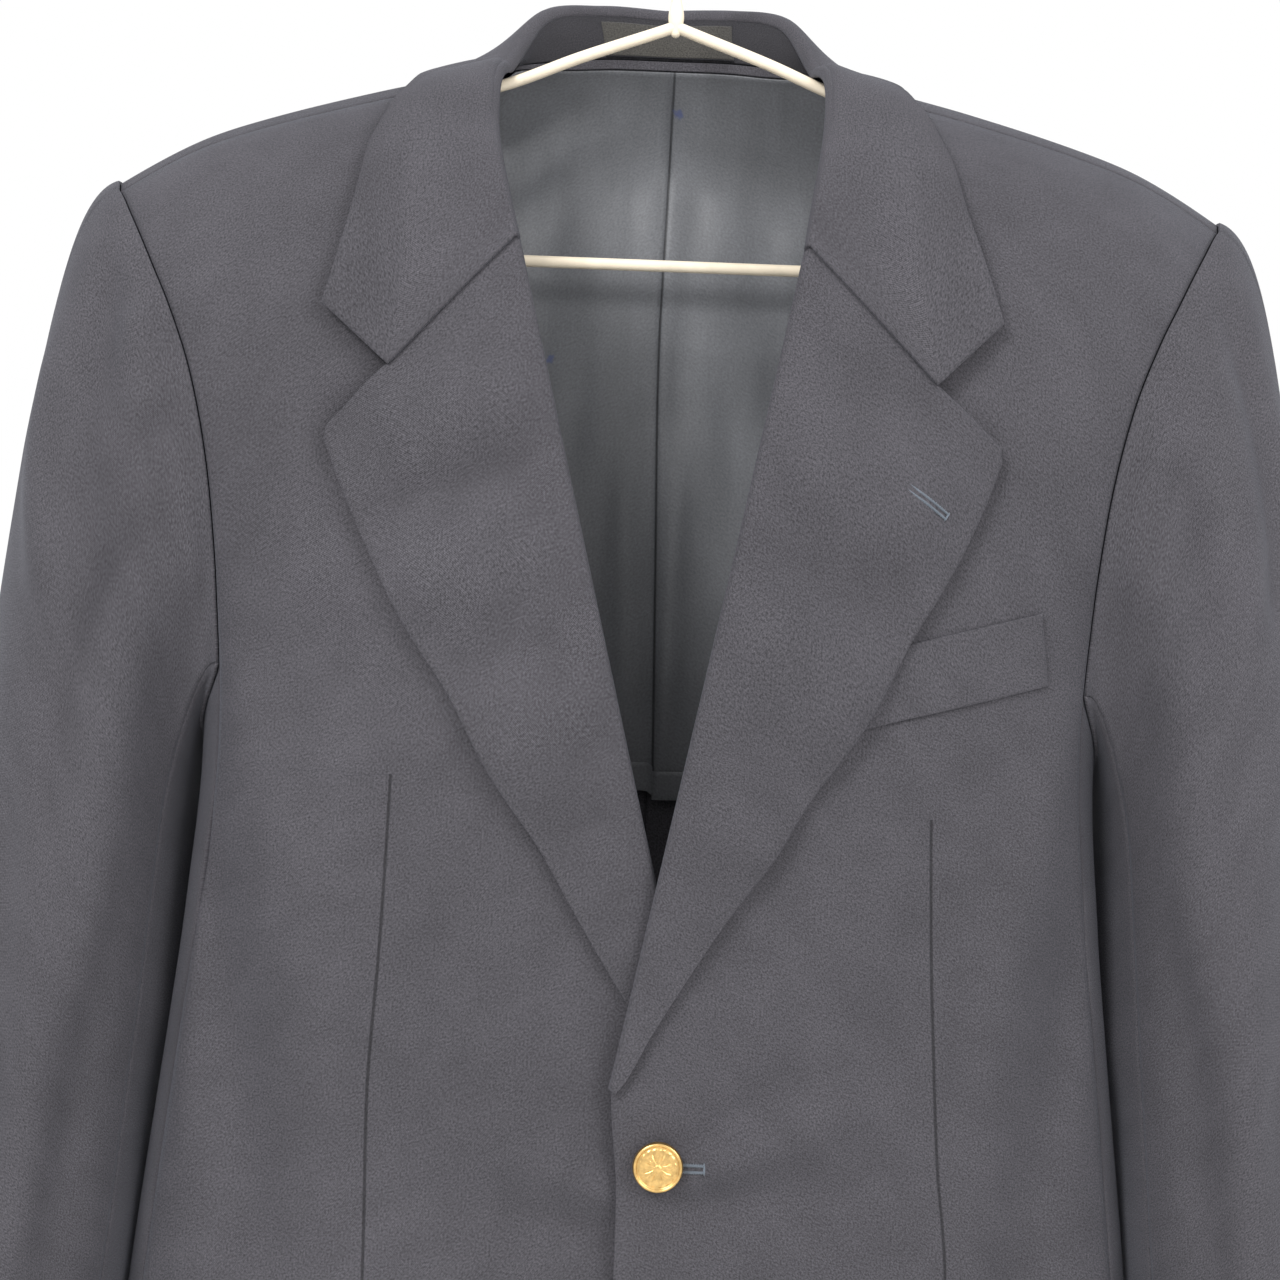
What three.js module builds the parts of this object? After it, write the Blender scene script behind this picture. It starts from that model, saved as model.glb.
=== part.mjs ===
import * as THREE from 'three';

// A single-breasted tailored jacket hanging on a thin tube hanger.
// Millimetres, +Z up, +X to the wearer's left, -Y to the front of the jacket.
// The origin is the point of the hanger hook that bears on a rail.

// Walls and gaps
const clothWall = 1.6;
const lapelWall = 1.8;
const standWall = 1.4;
const liningWall = 1.0;
const trimWall = 1.1;
const patchWall = 0.8;
const seamGap = 0.3;
const trimLift = 0.5;

// Body of the jacket
const frontDepth = 78;
const backDepth = 68;
const sectionPower = 2.5;
const centreFront = 9.6;
const underFrontPush = 6.5;
const underFrontRange = { from: -85, to: -5 };
const sideSeamTurn = 68;
const backSeamTurn = 120;
const sideTopHeight = -352;
const armholeScoop = 34;
const sideHemHeight = -837;
const backHemHeight = -828;
const shoulderSeamDrop = 8;
const armholeTopOut = 232;

// Height of the shoulder ridge above each distance out from the centre
const ridgeTable = [
  { out: 0, height: -66 },
  { out: 40, height: -80 },
  { out: 80, height: -94 },
  { out: 126, height: -105.5 },
  { out: 173, height: -119 },
  { out: 202, height: -130 },
  { out: 236.5, height: -150 },
  { out: 290, height: -186 },
];

// Half width of the body at each height
const widthTable = [
  { height: -50, half: 292 },
  { height: -150, half: 268 },
  { height: -207, half: 245 },
  { height: -272, half: 214 },
  { height: -330, half: 195 },
  { height: -385, half: 191 },
  { height: -450, half: 197 },
  { height: -500, half: 203 },
  { height: -590, half: 214 },
  { height: -700, half: 225 },
  { height: -860, half: 235 },
];

// How much deeper or shallower the body hangs at each height
const fullnessTable = [
  { height: -50, front: 1.0, back: 1.0 },
  { height: -300, front: 1.0, back: 1.0 },
  { height: -420, front: 1.02, back: 0.96 },
  { height: -540, front: 0.98, back: 0.92 },
  { height: -680, front: 1.03, back: 1.0 },
  { height: -860, front: 1.12, back: 1.08 },
];

// How far the front falls from the ridge before it hangs straight
const frontFallTable = [
  { out: 0, fall: 300 },
  { out: 80, fall: 290 },
  { out: 160, fall: 200 },
  { out: 240, fall: 140 },
  { out: 290, fall: 130 },
];
const backFallTable = [
  { out: 0, fall: 60 },
  { out: 60, fall: 72 },
  { out: 130, fall: 105 },
  { out: 290, fall: 112 },
];

// Depth of the soft fold that tucks in under each arm
const sideFoldTable = [
  { height: -352, depth: 0 },
  { height: -400, depth: 4 },
  { height: -480, depth: 9 },
  { height: -640, depth: 10 },
  { height: -860, depth: 9 },
];
const sideFoldTurn = 94;
const sideFoldSpread = 24;

// Seam of the front panel round the armhole, seen from the front
const frontArmholeTable = [
  { out: 224, height: -167 },
  { out: 213, height: -187 },
  { out: 203, height: -207 },
  { out: 193, height: -233 },
  { out: 185.5, height: -266 },
  { out: 181.5, height: -300 },
  { out: 179.5, height: -330 },
];

// Seam of the back panel round the armhole
const backArmholeTable = [
  { out: 229, height: -164 },
  { out: 219, height: -188 },
  { out: 209, height: -218 },
  { out: 198, height: -255 },
  { out: 186, height: -295 },
  { out: 174, height: -330 },
];

// Neck edge of the back, by its drop below the line of the ridge
const backNeckTable = [
  { out: 0, drop: 12 },
  { out: 30, drop: 7.5 },
  { out: 58, drop: 4 },
  { out: 76, drop: 1 },
];
const neckStrip = 12;

// Neck edge of each front under the collar, then its roll edge, straight to the break
const neckPoint = { out: 80, height: -102 };
const neckEdgeTable = [
  { out: 78, height: -125 },
  { out: 71, height: -150 },
];
const rollTopHeight = -176;
const breakHeight = -514;

// Cutaway edge below the break, by its distance past the centre front line
const frontEdgeTable = [
  { past: -18.5, height: -530 },
  { past: -16.2, height: -552 },
  { past: -15.8, height: -600 },
  { past: -15.2, height: -650 },
  { past: -10, height: -692 },
  { past: 6, height: -738 },
  { past: 32, height: -782 },
];
const hemTable = [
  { past: 62, height: -815 },
  { past: 96, height: -838 },
  { past: 135, height: -845 },
];

// What differs between the two fronts: the wearer's left front, side 1, laps over the other
const frontTables = {
  '1': {
    rollTop: 57,
    rollBreak: -9.6,
    notch: { out: 109, height: -231 },
    lapelTip: { out: 138, height: -256 },
    collarTip: { out: 135.5, height: -204.5 },
    lapelEdge: [
      { across: 120, height: -299 },
      { across: 93, height: -349 },
      { across: 68, height: -391 },
      { across: 28, height: -452 },
      { across: 7, height: -487 },
      { across: -3, height: -508 },
    ],
  },
  '-1': {
    rollTop: -62,
    rollBreak: 24,
    notch: { out: 109.5, height: -231 },
    lapelTip: { out: 136, height: -257 },
    collarTip: { out: 138, height: -206 },
    lapelEdge: [
      { across: -114, height: -305 },
      { across: -81, height: -360 },
      { across: -40, height: -424 },
      { across: -4, height: -481 },
      { across: 18, height: -506 },
    ],
  },
};

// How far the lapel stands off the front, from its roll edge out to its free edge
const lapelLiftTable = [
  { along: 0, lift: 3.0 },
  { along: 0.15, lift: 5.2 },
  { along: 0.45, lift: 6.2 },
  { along: 0.8, lift: 5.0 },
  { along: 1, lift: 4.6 },
];
const breakFlatness = 0.62;
const lapelNotchShare = 0.66;

// Collar from the centre back round to its front end: the crest that it rolls over, the way
// it faces there (degrees from straight out to the side towards the back), and its outer edge
const collarTable = [
  { along: 0, rollOut: 0, rollBack: 46, rollHeight: -51, facing: 90, edgeOut: 0, edgeHeight: -97 },
  { along: 1, rollOut: 30, rollBack: 41, rollHeight: -53, facing: 72, edgeOut: 38, edgeHeight: -101 },
  { along: 2, rollOut: 54, rollBack: 25, rollHeight: -62, facing: 42, edgeOut: 75, edgeHeight: -108 },
  { along: 3, rollOut: 67, rollBack: 5, rollHeight: -80, facing: 8, edgeOut: 103.5, edgeHeight: -100.2 },
  { along: 4, rollOut: 71, rollBack: -15, rollHeight: -102, facing: 0, edgeOut: 110, edgeHeight: -112 },
  { along: 5, rollOut: 69, rollBack: -38, rollHeight: -128, facing: -10, edgeOut: 119, edgeHeight: -134 },
  { along: 6, rollOut: 64.5, rollBack: -53, rollHeight: -153, facing: -20, edgeOut: 124, edgeHeight: -160 },
  { along: 7, rollOut: 60, rollBack: -63, rollHeight: -176, facing: -25, edgeOut: 136, edgeHeight: -205 },
];
const collarLift = 4.2;
const collarClear = 4.9;
const gorgeGap = 1.3;
const collarSpring = { out: 8, up: 1.5 };
const collarShift = -4.5;
const shoulderStation = 3.2;
const shoulderEnd = 4.3;
const notchShare = 0.62;
const clearShare = 0.15;
const frontLieTop = -100;
const frontLieBottom = -150;
const standEnd = 3.15;
const standShare = 0.4;
const standGap = 1.4 + standWall;
const standTable = [
  { along: 0, out: 0, back: 36, height: -75 },
  { along: 1, out: 28, back: 29, height: -77.5 },
  { along: 2, out: 50, back: 17.5, height: -84 },
  { along: 3, out: 70, back: 3, height: -91.5 },
  { along: 4, out: 76, back: -14, height: -104 },
];
const standBow = 1.2;
const facingDrop = 6;
const facingSlope = 0.4;
const facingEnd = 1.72;
const patchTop = 0.44;
const patchBottom = 0.94;
const patchEnd = 0.94;

// Lining of the upper back
const liningDepth = 5.2;
const liningTopDrop = 16;
const liningHem = { '1': -408, '-1': -406 };
const liningNeckDrop = 3;
const liningSlope = { from: 52, to: 0 };
const liningSideTable = [
  { height: -110, out: 205 },
  { height: -160, out: 212 },
  { height: -230, out: 196 },
  { height: -300, out: 176 },
  { height: -352, out: 158 },
  { height: -410, out: 160 },
];

// Breast pocket welt and pocket flaps, by their corners on the front panel
const weltCorners = {
  topInner: { out: 74, height: -341 },
  topOuter: { out: 156, height: -319 },
  bottomInner: { out: 72, height: -371.5 },
  bottomOuter: { out: 160, height: -348.5 },
};
const flapCorners = {
  topInner: { out: 66, height: -652 },
  topOuter: { out: 184, height: -659 },
  bottomInner: { out: 64, height: -704 },
  bottomOuter: { out: 186, height: -712 },
};

// Sleeve: its centre line and half widths at each height, then its head
const sleeveTable = [
  { height: -240, out: 225, back: 2, halfWide: 43.5, halfDeep: 66 },
  { height: -330, out: 234, back: 3, halfWide: 44.5, halfDeep: 70 },
  { height: -400, out: 239, back: 3, halfWide: 44.5, halfDeep: 71 },
  { height: -500, out: 246, back: -2, halfWide: 43, halfDeep: 69 },
  { height: -590, out: 254, back: -11, halfWide: 40, halfDeep: 65 },
  { height: -680, out: 261, back: -24, halfWide: 35, halfDeep: 60 },
  { height: -760, out: 266, back: -36, halfWide: 31, halfDeep: 56 },
];
const cuffHeight = -752;
const headJoinMean = -346;
const headJoinTilt = 84;
const headSpring = 0.6;
const headPuff = 0.17;
const headArrive = 0.9;
const headRows = 7;
const armRows = 11;
const sleeveTurns = { start: 10, frontSeam: 148, backSeam: 232, end: 370 };
const underSleeveExtra = 1;
const sleeveGap = 0.3;

// Soft folds that run down each sleeve from its head: where each is centred round the sleeve
// and in height, how far it spreads, how it leans and how far it rises
const sleeveFolds = [
  { turn: 62, height: -255, spread: 20, reach: 70, lean: 0.32, rise: 4.5 },
  { turn: 104, height: -300, spread: 15, reach: 60, lean: 0.3, rise: 3.0 },
  { turn: 300, height: -300, spread: 20, reach: 80, lean: -0.2, rise: 3.5 },
];

// Hanger tube, hook and bar
const tubeRadius = 2.5;
const hookRadius = 2.1;
const hookBend = 20;
const junctionHeight = -72;
const barHeight = -175;
const stemTable = [
  { out: 11, height: -33 },
  { out: 3, height: -42 },
  { out: 0, height: -52 },
  { out: 0, height: junctionHeight + tubeRadius + seamGap },
];
const hangerTurnRadius = 19;
const hangerTable = [
  { out: 1, height: -72.4 },
  { out: 8, height: -75 },
  { out: 40, height: -86.6 },
  { out: 74, height: -100.2 },
  { out: 110, height: -108.6 },
  { out: 150, height: -118.2 },
];
const hangerTurnOut = 178;

// Buttons
const buttonRadius = 10;
const buttonHeights = [-544, -649];

// Counts of grid cells
const cells = {
  frontAcross: 9,
  neckAcross: 4,
  armholeFront: 7,
  armholeBack: 8,
  sideAcross: 6,
  sideDown: 11,
  lapelAcross: 6,
  lapelDown: 12,
  collarAlong: 14,
  liningAcross: 8,
  liningDown: 12,
  standAlong: 12,
  facingAlong: 6,
  patchAlong: 4,
};

const colours = {
  cloth: 0x33333d,
  lining: 0x4d5660,
  patch: 0x54545a,
  hanger: 0xe8dccb,
  button: 0xc9a05c,
};

const degrees = Math.PI / 180;
const clamp = (value, low, high) => Math.min(high, Math.max(low, value));
const ramp = (value, from, to) => {
  const share = clamp((value - from) / (to - from), 0, 1);
  return share * share * (3 - 2 * share);
};
const mix = (a, b, share) => a + (b - a) * share;
const vector = (x, y, z) => new THREE.Vector3(x, y, z);

// A smooth curve through one column of a table, read by another column
function curveOf(table, from, to) {
  const knots = table.map((row) => [row[from], row[to]]).sort((a, b) => a[0] - b[0]);
  const slopes = knots.map((knot, i) => {
    const before = knots[Math.max(0, i - 1)];
    const after = knots[Math.min(knots.length - 1, i + 1)];
    return (after[1] - before[1]) / (after[0] - before[0]);
  });
  return (at) => {
    const place = clamp(at, knots[0][0], knots[knots.length - 1][0]);
    let i = 0;
    while (i < knots.length - 2 && place > knots[i + 1][0]) i += 1;
    const span = knots[i + 1][0] - knots[i][0];
    const t = (place - knots[i][0]) / span;
    const rise = 3 * t * t - 2 * t * t * t;
    return (
      mix(knots[i][1], knots[i + 1][1], rise) +
      span * (t * (1 - t) * (1 - t) * slopes[i] - t * t * (1 - t) * slopes[i + 1])
    );
  };
}

const ridgeHeight = curveOf(ridgeTable, 'out', 'height');
const halfWidth = curveOf(widthTable, 'height', 'half');
const frontFullness = curveOf(fullnessTable, 'height', 'front');
const backFullness = curveOf(fullnessTable, 'height', 'back');
const frontFall = curveOf(frontFallTable, 'out', 'fall');
const backFall = curveOf(backFallTable, 'out', 'fall');
const sideFold = curveOf(sideFoldTable, 'height', 'depth');

// Body surface. A place on it is across (x) and run: how far it lies from the shoulder ridge,
// positive down the front and negative down the back. Each side falls as a quarter ellipse
// and then hangs straight, and every level is a rounded oblong.
const crownRun = (fall, depth) => ((Math.PI / 2) * Math.hypot(fall, depth)) / Math.SQRT2;

function fallAt(across, isFront) {
  return isFront ? frontFall(Math.abs(across)) : backFall(Math.abs(across));
}

function oblong(share) {
  return Math.pow(Math.max(0, 1 - Math.pow(Math.min(1, share), sectionPower)), 1 / sectionPower);
}

function bodyPoint(across, run) {
  const isFront = run >= 0;
  const fall = fallAt(across, isFront);
  const depth = isFront ? frontDepth : backDepth;
  const crown = crownRun(fall, depth);
  const turn = (Math.min(Math.abs(run) / crown, 1) * Math.PI) / 2;
  const drop = fall * (1 - Math.cos(turn)) + Math.max(0, Math.abs(run) - crown);
  const height = ridgeHeight(Math.abs(across)) - drop;
  const fullness = isFront ? frontFullness(height) : backFullness(height);
  const reach = depth * fullness * Math.sin(turn) * oblong(Math.abs(across) / halfWidth(height));
  return vector(across, isFront ? -reach : reach, height);
}

function runAt(across, height, isFront) {
  const fall = fallAt(across, isFront);
  const crown = crownRun(fall, isFront ? frontDepth : backDepth);
  const drop = Math.max(0, ridgeHeight(Math.abs(across)) - height);
  const turn = Math.acos(Math.max(0, 1 - drop / fall));
  const length = drop < fall ? (turn / (Math.PI / 2)) * crown : crown + drop - fall;
  return isFront ? length : -length;
}

function normalOf(surface, u, v) {
  const step = 0.4;
  const along = surface(u + step, v).sub(surface(u - step, v));
  const down = surface(u, v + step).sub(surface(u, v - step));
  return down.cross(along).normalize();
}

const bodyNormal = (across, run) => normalOf(bodyPoint, across, run);

// Fronts: the under front is set back where the other laps over it
const fronts = (side) => (across, run) => {
  const point = bodyPoint(across, run);
  const { from, to } = underFrontRange;
  if (side < 0 && run > 0) point.y += underFrontPush * ramp(across, from, to);
  return point;
};

// Side of the body. A place on it is a turn, from 0 at the centre front through 90 under the
// arm to 180 at the centre back, and a height.
const sides = (side) => (turn, height) => {
  const isFront = turn < 90;
  const share = Math.sin(turn * degrees);
  const fold = Math.cos(clamp((turn - sideFoldTurn) / sideFoldSpread, -1, 1) * 90 * degrees) ** 2;
  const reach = isFront
    ? -frontDepth * frontFullness(height)
    : backDepth * backFullness(height);
  return vector(
    side * (halfWidth(height) * share - sideFold(height) * fold),
    reach * oblong(share),
    height,
  );
};

// Evenly spaced points along a smooth curve through table rows of [u, v] places
function spaced(places, count) {
  const curve = new THREE.CatmullRomCurve3(
    places.map(([u, v]) => vector(u, v, 0)), false, 'centripetal');
  return curve.getSpacedPoints(count).map((p) => [p.x, p.y]);
}

// A grid of places filled in between four edges that share their corners
function fillBetween(inner, outer, top, bottom) {
  const columns = top.length - 1;
  const stations = (edge) => {
    const steps = edge.map((p, i) => (i ? Math.hypot(p[0] - edge[i - 1][0], p[1] - edge[i - 1][1]) : 0));
    let sum = 0;
    const sums = steps.map((step) => (sum += step));
    return sums.map((s) => s / sum);
  };
  const down = stations(outer);
  const across = stations(bottom);
  return inner.map((left, j) => top.map((upper, i) => [0, 1].map((k) => {
    const u = across[i];
    const v = down[j];
    const flat = mix(mix(top[0][k], top[columns][k], u), mix(bottom[0][k], bottom[columns][k], u), v);
    return mix(left[k], outer[j][k], u) + mix(upper[k], bottom[i][k], v) - flat;
  })));
}

// A closed wall between an outer and an inner grid of points, with a rim all round
function wallFrom(outer, inner) {
  const rows = outer.length;
  const columns = outer[0].length;
  const positions = [];
  for (const grid of [outer, inner]) {
    for (const row of grid) for (const p of row) positions.push(p.x, p.y, p.z);
  }
  const index = [];
  const at = (layer, j, i) => layer * rows * columns + j * columns + i;
  const quad = (a, b, c, d) => index.push(a, b, c, a, c, d);
  for (let j = 0; j < rows - 1; j += 1) {
    for (let i = 0; i < columns - 1; i += 1) {
      quad(at(0, j, i), at(0, j + 1, i), at(0, j + 1, i + 1), at(0, j, i + 1));
      quad(at(1, j, i), at(1, j, i + 1), at(1, j + 1, i + 1), at(1, j + 1, i));
    }
    quad(at(0, j + 1, 0), at(0, j, 0), at(1, j, 0), at(1, j + 1, 0));
    const last = columns - 1;
    quad(at(0, j, last), at(0, j + 1, last), at(1, j + 1, last), at(1, j, last));
  }
  for (let i = 0; i < columns - 1; i += 1) {
    quad(at(0, 0, i), at(0, 0, i + 1), at(1, 0, i + 1), at(1, 0, i));
    quad(at(0, rows - 1, i + 1), at(0, rows - 1, i), at(1, rows - 1, i), at(1, rows - 1, i + 1));
  }
  const geometry = new THREE.BufferGeometry();
  geometry.setAttribute('position', new THREE.Float32BufferAttribute(positions, 3));
  geometry.setIndex(index);
  if (signedVolume(geometry) < 0) {
    for (let k = 0; k < index.length; k += 3) [index[k + 1], index[k + 2]] = [index[k + 2], index[k + 1]];
    geometry.setIndex(index);
  }
  return geometry;
}

function signedVolume(geometry) {
  const p = geometry.getAttribute('position');
  const index = geometry.getIndex().array;
  const corner = (k) => vector(p.getX(index[k]), p.getY(index[k]), p.getZ(index[k]));
  let volume = 0;
  for (let k = 0; k < index.length; k += 3) {
    volume += corner(k).dot(corner(k + 1).cross(corner(k + 2)));
  }
  return volume / 6;
}

// Draws the rim of a grid in by half a seam gap, so that neighbours stay a gap apart
function drawIn(grid, gap = seamGap / 2) {
  const rows = grid.length - 1;
  const columns = grid[0].length - 1;
  const moved = grid.map((row) => row.map((p) => p.clone()));
  const pull = (j, i, nj, ni) => {
    const way = grid[nj][ni].clone().sub(grid[j][i]);
    moved[j][i].addScaledVector(way, gap / way.length());
  };
  for (let j = 0; j <= rows; j += 1) {
    pull(j, 0, j, 1);
    pull(j, columns, j, columns - 1);
  }
  for (let i = 0; i <= columns; i += 1) {
    pull(0, i, 1, i);
    pull(rows, i, rows - 1, i);
  }
  return moved;
}

// A panel of cloth: a grid of places on a surface, lifted off it, with a wall inside
function panelOn(surface, places, wall, lift = 0, gap = seamGap / 2) {
  const liftOf = typeof lift === 'function' ? lift : () => lift;
  const share = (k, count) => k / (count - 1);
  const layer = (extra) => places.map((row, j) => row.map(([u, v], i) => {
    const out = liftOf(share(i, row.length), share(j, places.length)) + extra;
    return surface(u, v).addScaledVector(normalOf(surface, u, v), out);
  }));
  return wallFrom(drawIn(layer(0), gap), drawIn(layer(-wall), gap));
}

// A wall under a free grid of points, its thickness along the grid's own normals
function wallUnder(grid, wall, sign, gap = seamGap / 2) {
  const pick = (j, i) => grid[clamp(j, 0, grid.length - 1)][clamp(i, 0, grid[0].length - 1)];
  const inner = grid.map((row, j) => row.map((p, i) => {
    const along = pick(j, i + 1).clone().sub(pick(j, i - 1));
    const down = pick(j + 1, i).clone().sub(pick(j - 1, i));
    return p.clone().addScaledVector(along.cross(down).normalize(), sign * wall);
  }));
  return wallFrom(drawIn(grid, gap), drawIn(inner, gap));
}

const jacket = new THREE.Group();
function addPiece(name, geometry, colour, roughness = 0.9, metalness = 0) {
  const material = new THREE.MeshStandardMaterial({ color: colour, roughness, metalness });
  const mesh = new THREE.Mesh(geometry, material);
  mesh.name = name;
  jacket.add(mesh);
  return mesh;
}

const sideName = { '1': 'left', '-1': 'right' };
const both = [1, -1];

// Shared edges
const sideTurnOut = (height, turn) => halfWidth(height) * Math.sin(turn * degrees);
const frontPlace = (across, height) => [across, runAt(across, height, true)];
const backPlace = (across, height) => [across, runAt(across, height, false)];

const seamHeights = Array.from({ length: cells.sideDown + 1 }, (_, k) =>
  mix(sideTopHeight, sideHemHeight, k / cells.sideDown));
const frontSeam = (side) => seamHeights.map((height) =>
  frontPlace(side * sideTurnOut(height, sideSeamTurn), height));
const backSeam = (side) => seamHeights.map((height) =>
  backPlace(side * sideTurnOut(height, backSeamTurn), height));

const shoulderPlace = (side, out) => frontPlace(side * out, ridgeHeight(out) - shoulderSeamDrop);
const tableRows = (side, table, place) => table.map((row) => place(side * row.out, row.height));

const frontArmhole = (side) => spaced([
  shoulderPlace(side, armholeTopOut),
  ...tableRows(side, frontArmholeTable, frontPlace),
  frontSeam(side)[0],
], cells.armholeFront);
const backArmhole = (side) => [
  shoulderPlace(side, armholeTopOut),
  ...spaced([
    [side * (armholeTopOut + 3), 0],
    ...tableRows(side, backArmholeTable, backPlace),
    backSeam(side)[0],
  ], cells.armholeBack - 1),
];

const shoulderOuts = Array.from({ length: cells.frontAcross + 1 }, (_, i) =>
  mix(neckPoint.out, armholeTopOut, i / cells.frontAcross));
const shoulderSeam = (side) => shoulderOuts.map((out) => shoulderPlace(side, out));

const rollAcross = (side, height) => {
  const { rollTop, rollBreak } = frontTables[side];
  return mix(rollTop, rollBreak, (height - rollTopHeight) / (breakHeight - rollTopHeight));
};

// Fronts
const pastCentre = (side, past) => centreFront + side * past;
function frontPlaces(side) {
  const outer = [...frontArmhole(side), ...frontSeam(side).slice(1)];
  const rows = outer.length - 1;
  const rollRows = [0, 0.33, 0.67, 1].map((share) => {
    const height = mix(rollTopHeight, breakHeight, share);
    return [rollAcross(side, height), height];
  });
  const inner = spaced([
    [side * neckPoint.out, neckPoint.height],
    ...neckEdgeTable.map((row) => [side * row.out, row.height]),
    ...rollRows,
    ...frontEdgeTable.map((row) => [pastCentre(side, row.past), row.height]),
  ], rows).map(([across, height]) => frontPlace(across, height));
  const top = shoulderSeam(side);
  const corner = frontEdgeTable[frontEdgeTable.length - 1];
  const hem = spaced([
    [pastCentre(side, corner.past), corner.height],
    ...hemTable.map((row) => [pastCentre(side, row.past), row.height]),
    [side * sideTurnOut(sideHemHeight, sideSeamTurn), sideHemHeight],
  ], cells.frontAcross).map(([across, height]) => frontPlace(across, height));
  inner[0] = top[0];
  outer[0] = top[top.length - 1];
  inner[rows] = hem[0];
  outer[rows] = hem[hem.length - 1];
  return fillBetween(inner, outer, top, hem);
}
for (const side of both) {
  addPiece(`front_${sideName[side]}`, panelOn(fronts(side), frontPlaces(side), clothWall), colours.cloth);
}

// Back, in two halves joined at the centre back. Its first strip goes over the ridge.
function backPlaces(side) {
  const outer = [...backArmhole(side), ...backSeam(side).slice(1)];
  const rows = outer.length - 1;
  const neck = spaced(backNeckTable.map((row) =>
    backPlace(side * row.out, ridgeHeight(row.out) - row.drop)), cells.neckAcross);
  const columns = cells.neckAcross + 1 + cells.frontAcross;
  const top = [...neck, ...shoulderSeam(side)];
  const ridge = top.map(([across, run], i) =>
    [across, i <= cells.neckAcross ? run - neckStrip : 0]);
  ridge[columns] = outer[1];
  const inner = Array.from({ length: rows }, (_, j) =>
    [0, mix(ridge[0][1], runAt(0, backHemHeight, false), j / (rows - 1))]);
  const hem = Array.from({ length: columns + 1 }, (_, i) => {
    const share = i / columns;
    const out = share * sideTurnOut(sideHemHeight, backSeamTurn);
    return backPlace(side * out, mix(backHemHeight, sideHemHeight, share * share));
  });
  hem[columns] = outer[rows];
  return [top, ...fillBetween(inner, outer.slice(1), ridge, hem)];
}
for (const side of both) {
  addPiece(`back_${sideName[side]}`, panelOn(bodyPoint, backPlaces(side), clothWall), colours.cloth);
}

// Side panels, under the arms
function sideTop(side) {
  return Array.from({ length: cells.sideAcross + 1 }, (_, i) => {
    const share = i / cells.sideAcross;
    const scoop = armholeScoop * Math.pow(Math.sin(Math.PI * share), 0.8);
    return [mix(sideSeamTurn, backSeamTurn, share), sideTopHeight - scoop];
  });
}
for (const side of both) {
  const top = sideTop(side);
  const places = seamHeights.map((height, j) => top.map(([turn, upper]) => {
    const share = j / (seamHeights.length - 1);
    return [turn, height + (upper - sideTopHeight) * (1 - share) ** 2];
  }));
  addPiece(`side_${sideName[side]}`, panelOn(sides(side), places, -side * clothWall), colours.cloth);
}

// Lapels lie on the fronts, moved out from them
function lapelPlaces(side) {
  const { rollTop, notch, lapelTip, lapelEdge, rollBreak } = frontTables[side];
  const kink = Math.round(cells.lapelAcross * lapelNotchShare);
  const top = Array.from({ length: cells.lapelAcross + 1 }, (_, i) => {
    const start = i <= kink ? [rollTop, rollTopHeight] : [side * notch.out, notch.height];
    const end = i <= kink ? [side * notch.out, notch.height] : [side * lapelTip.out, lapelTip.height];
    const share = i <= kink ? i / kink : (i - kink) / (cells.lapelAcross - kink);
    return [mix(start[0], end[0], share), mix(start[1], end[1], share)];
  });
  const inner = Array.from({ length: cells.lapelDown + 1 }, (_, j) => {
    const height = mix(rollTopHeight, breakHeight, j / cells.lapelDown);
    return [rollAcross(side, height), height];
  });
  const outer = spaced([
    [side * lapelTip.out, lapelTip.height],
    ...lapelEdge.map((row) => [row.across, row.height]),
  ], cells.lapelDown);
  const last = outer[cells.lapelDown];
  const bottom = top.map((_, i) => {
    const share = i / cells.lapelAcross;
    return [mix(rollBreak, last[0], share), mix(breakHeight, last[1], share)];
  });
  return fillBetween(inner, outer, top, bottom)
    .map((row) => row.map(([across, height]) => frontPlace(across, height)));
}
const lapelLift = curveOf(lapelLiftTable, 'along', 'lift');
for (const side of both) {
  const lift = (along, down) =>
    mix(lapelLift(along), lapelLiftTable[0].lift, ramp(down, 1 - breakFlatness, 1));
  addPiece(`lapel_${sideName[side]}`,
    panelOn(fronts(side), lapelPlaces(side), lapelWall, lift), colours.cloth);
}

// Collar. Each section springs from the crest of the roll and comes down on the body.
const collarColumn = (name) => {
  const curve = curveOf(collarTable, 'along', name);
  return (along) => curve(Math.abs(along));
};
const collar = Object.fromEntries(
  ['rollOut', 'rollBack', 'rollHeight', 'facing', 'edgeOut', 'edgeHeight'].map((name) =>
    [name, collarColumn(name)]));
const frontEnd = collarTable[collarTable.length - 1].along;

const lean = (height) => collarShift * ramp(height, -205, -120);
const frontLie = (across, height, lift) =>
  bodyPoint(across, runAt(across, height, true)).y - lift;

function crest(along) {
  const side = Math.sign(along) || 1;
  const height = collar.rollHeight(along);
  return vector(side * collar.rollOut(along) + lean(height), collar.rollBack(along), height);
}

function facing(along) {
  const side = Math.sign(along) || 1;
  const angle = collar.facing(along) * degrees;
  return vector(side * Math.cos(angle), Math.sin(angle), 0);
}

function collarEdge(along) {
  const side = Math.sign(along) || 1;
  const height = collar.edgeHeight(along);
  const across = side * collar.edgeOut(along) + lean(height);
  const run = runAt(across, height, Math.abs(along) > shoulderStation);
  const down = bodyPoint(across, run - 4 * Math.sign(run || 1)).sub(bodyPoint(across, run));
  return {
    point: bodyPoint(across, run).addScaledVector(bodyNormal(across, run), collarLift),
    up: down.normalize(),
  };
}

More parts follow.
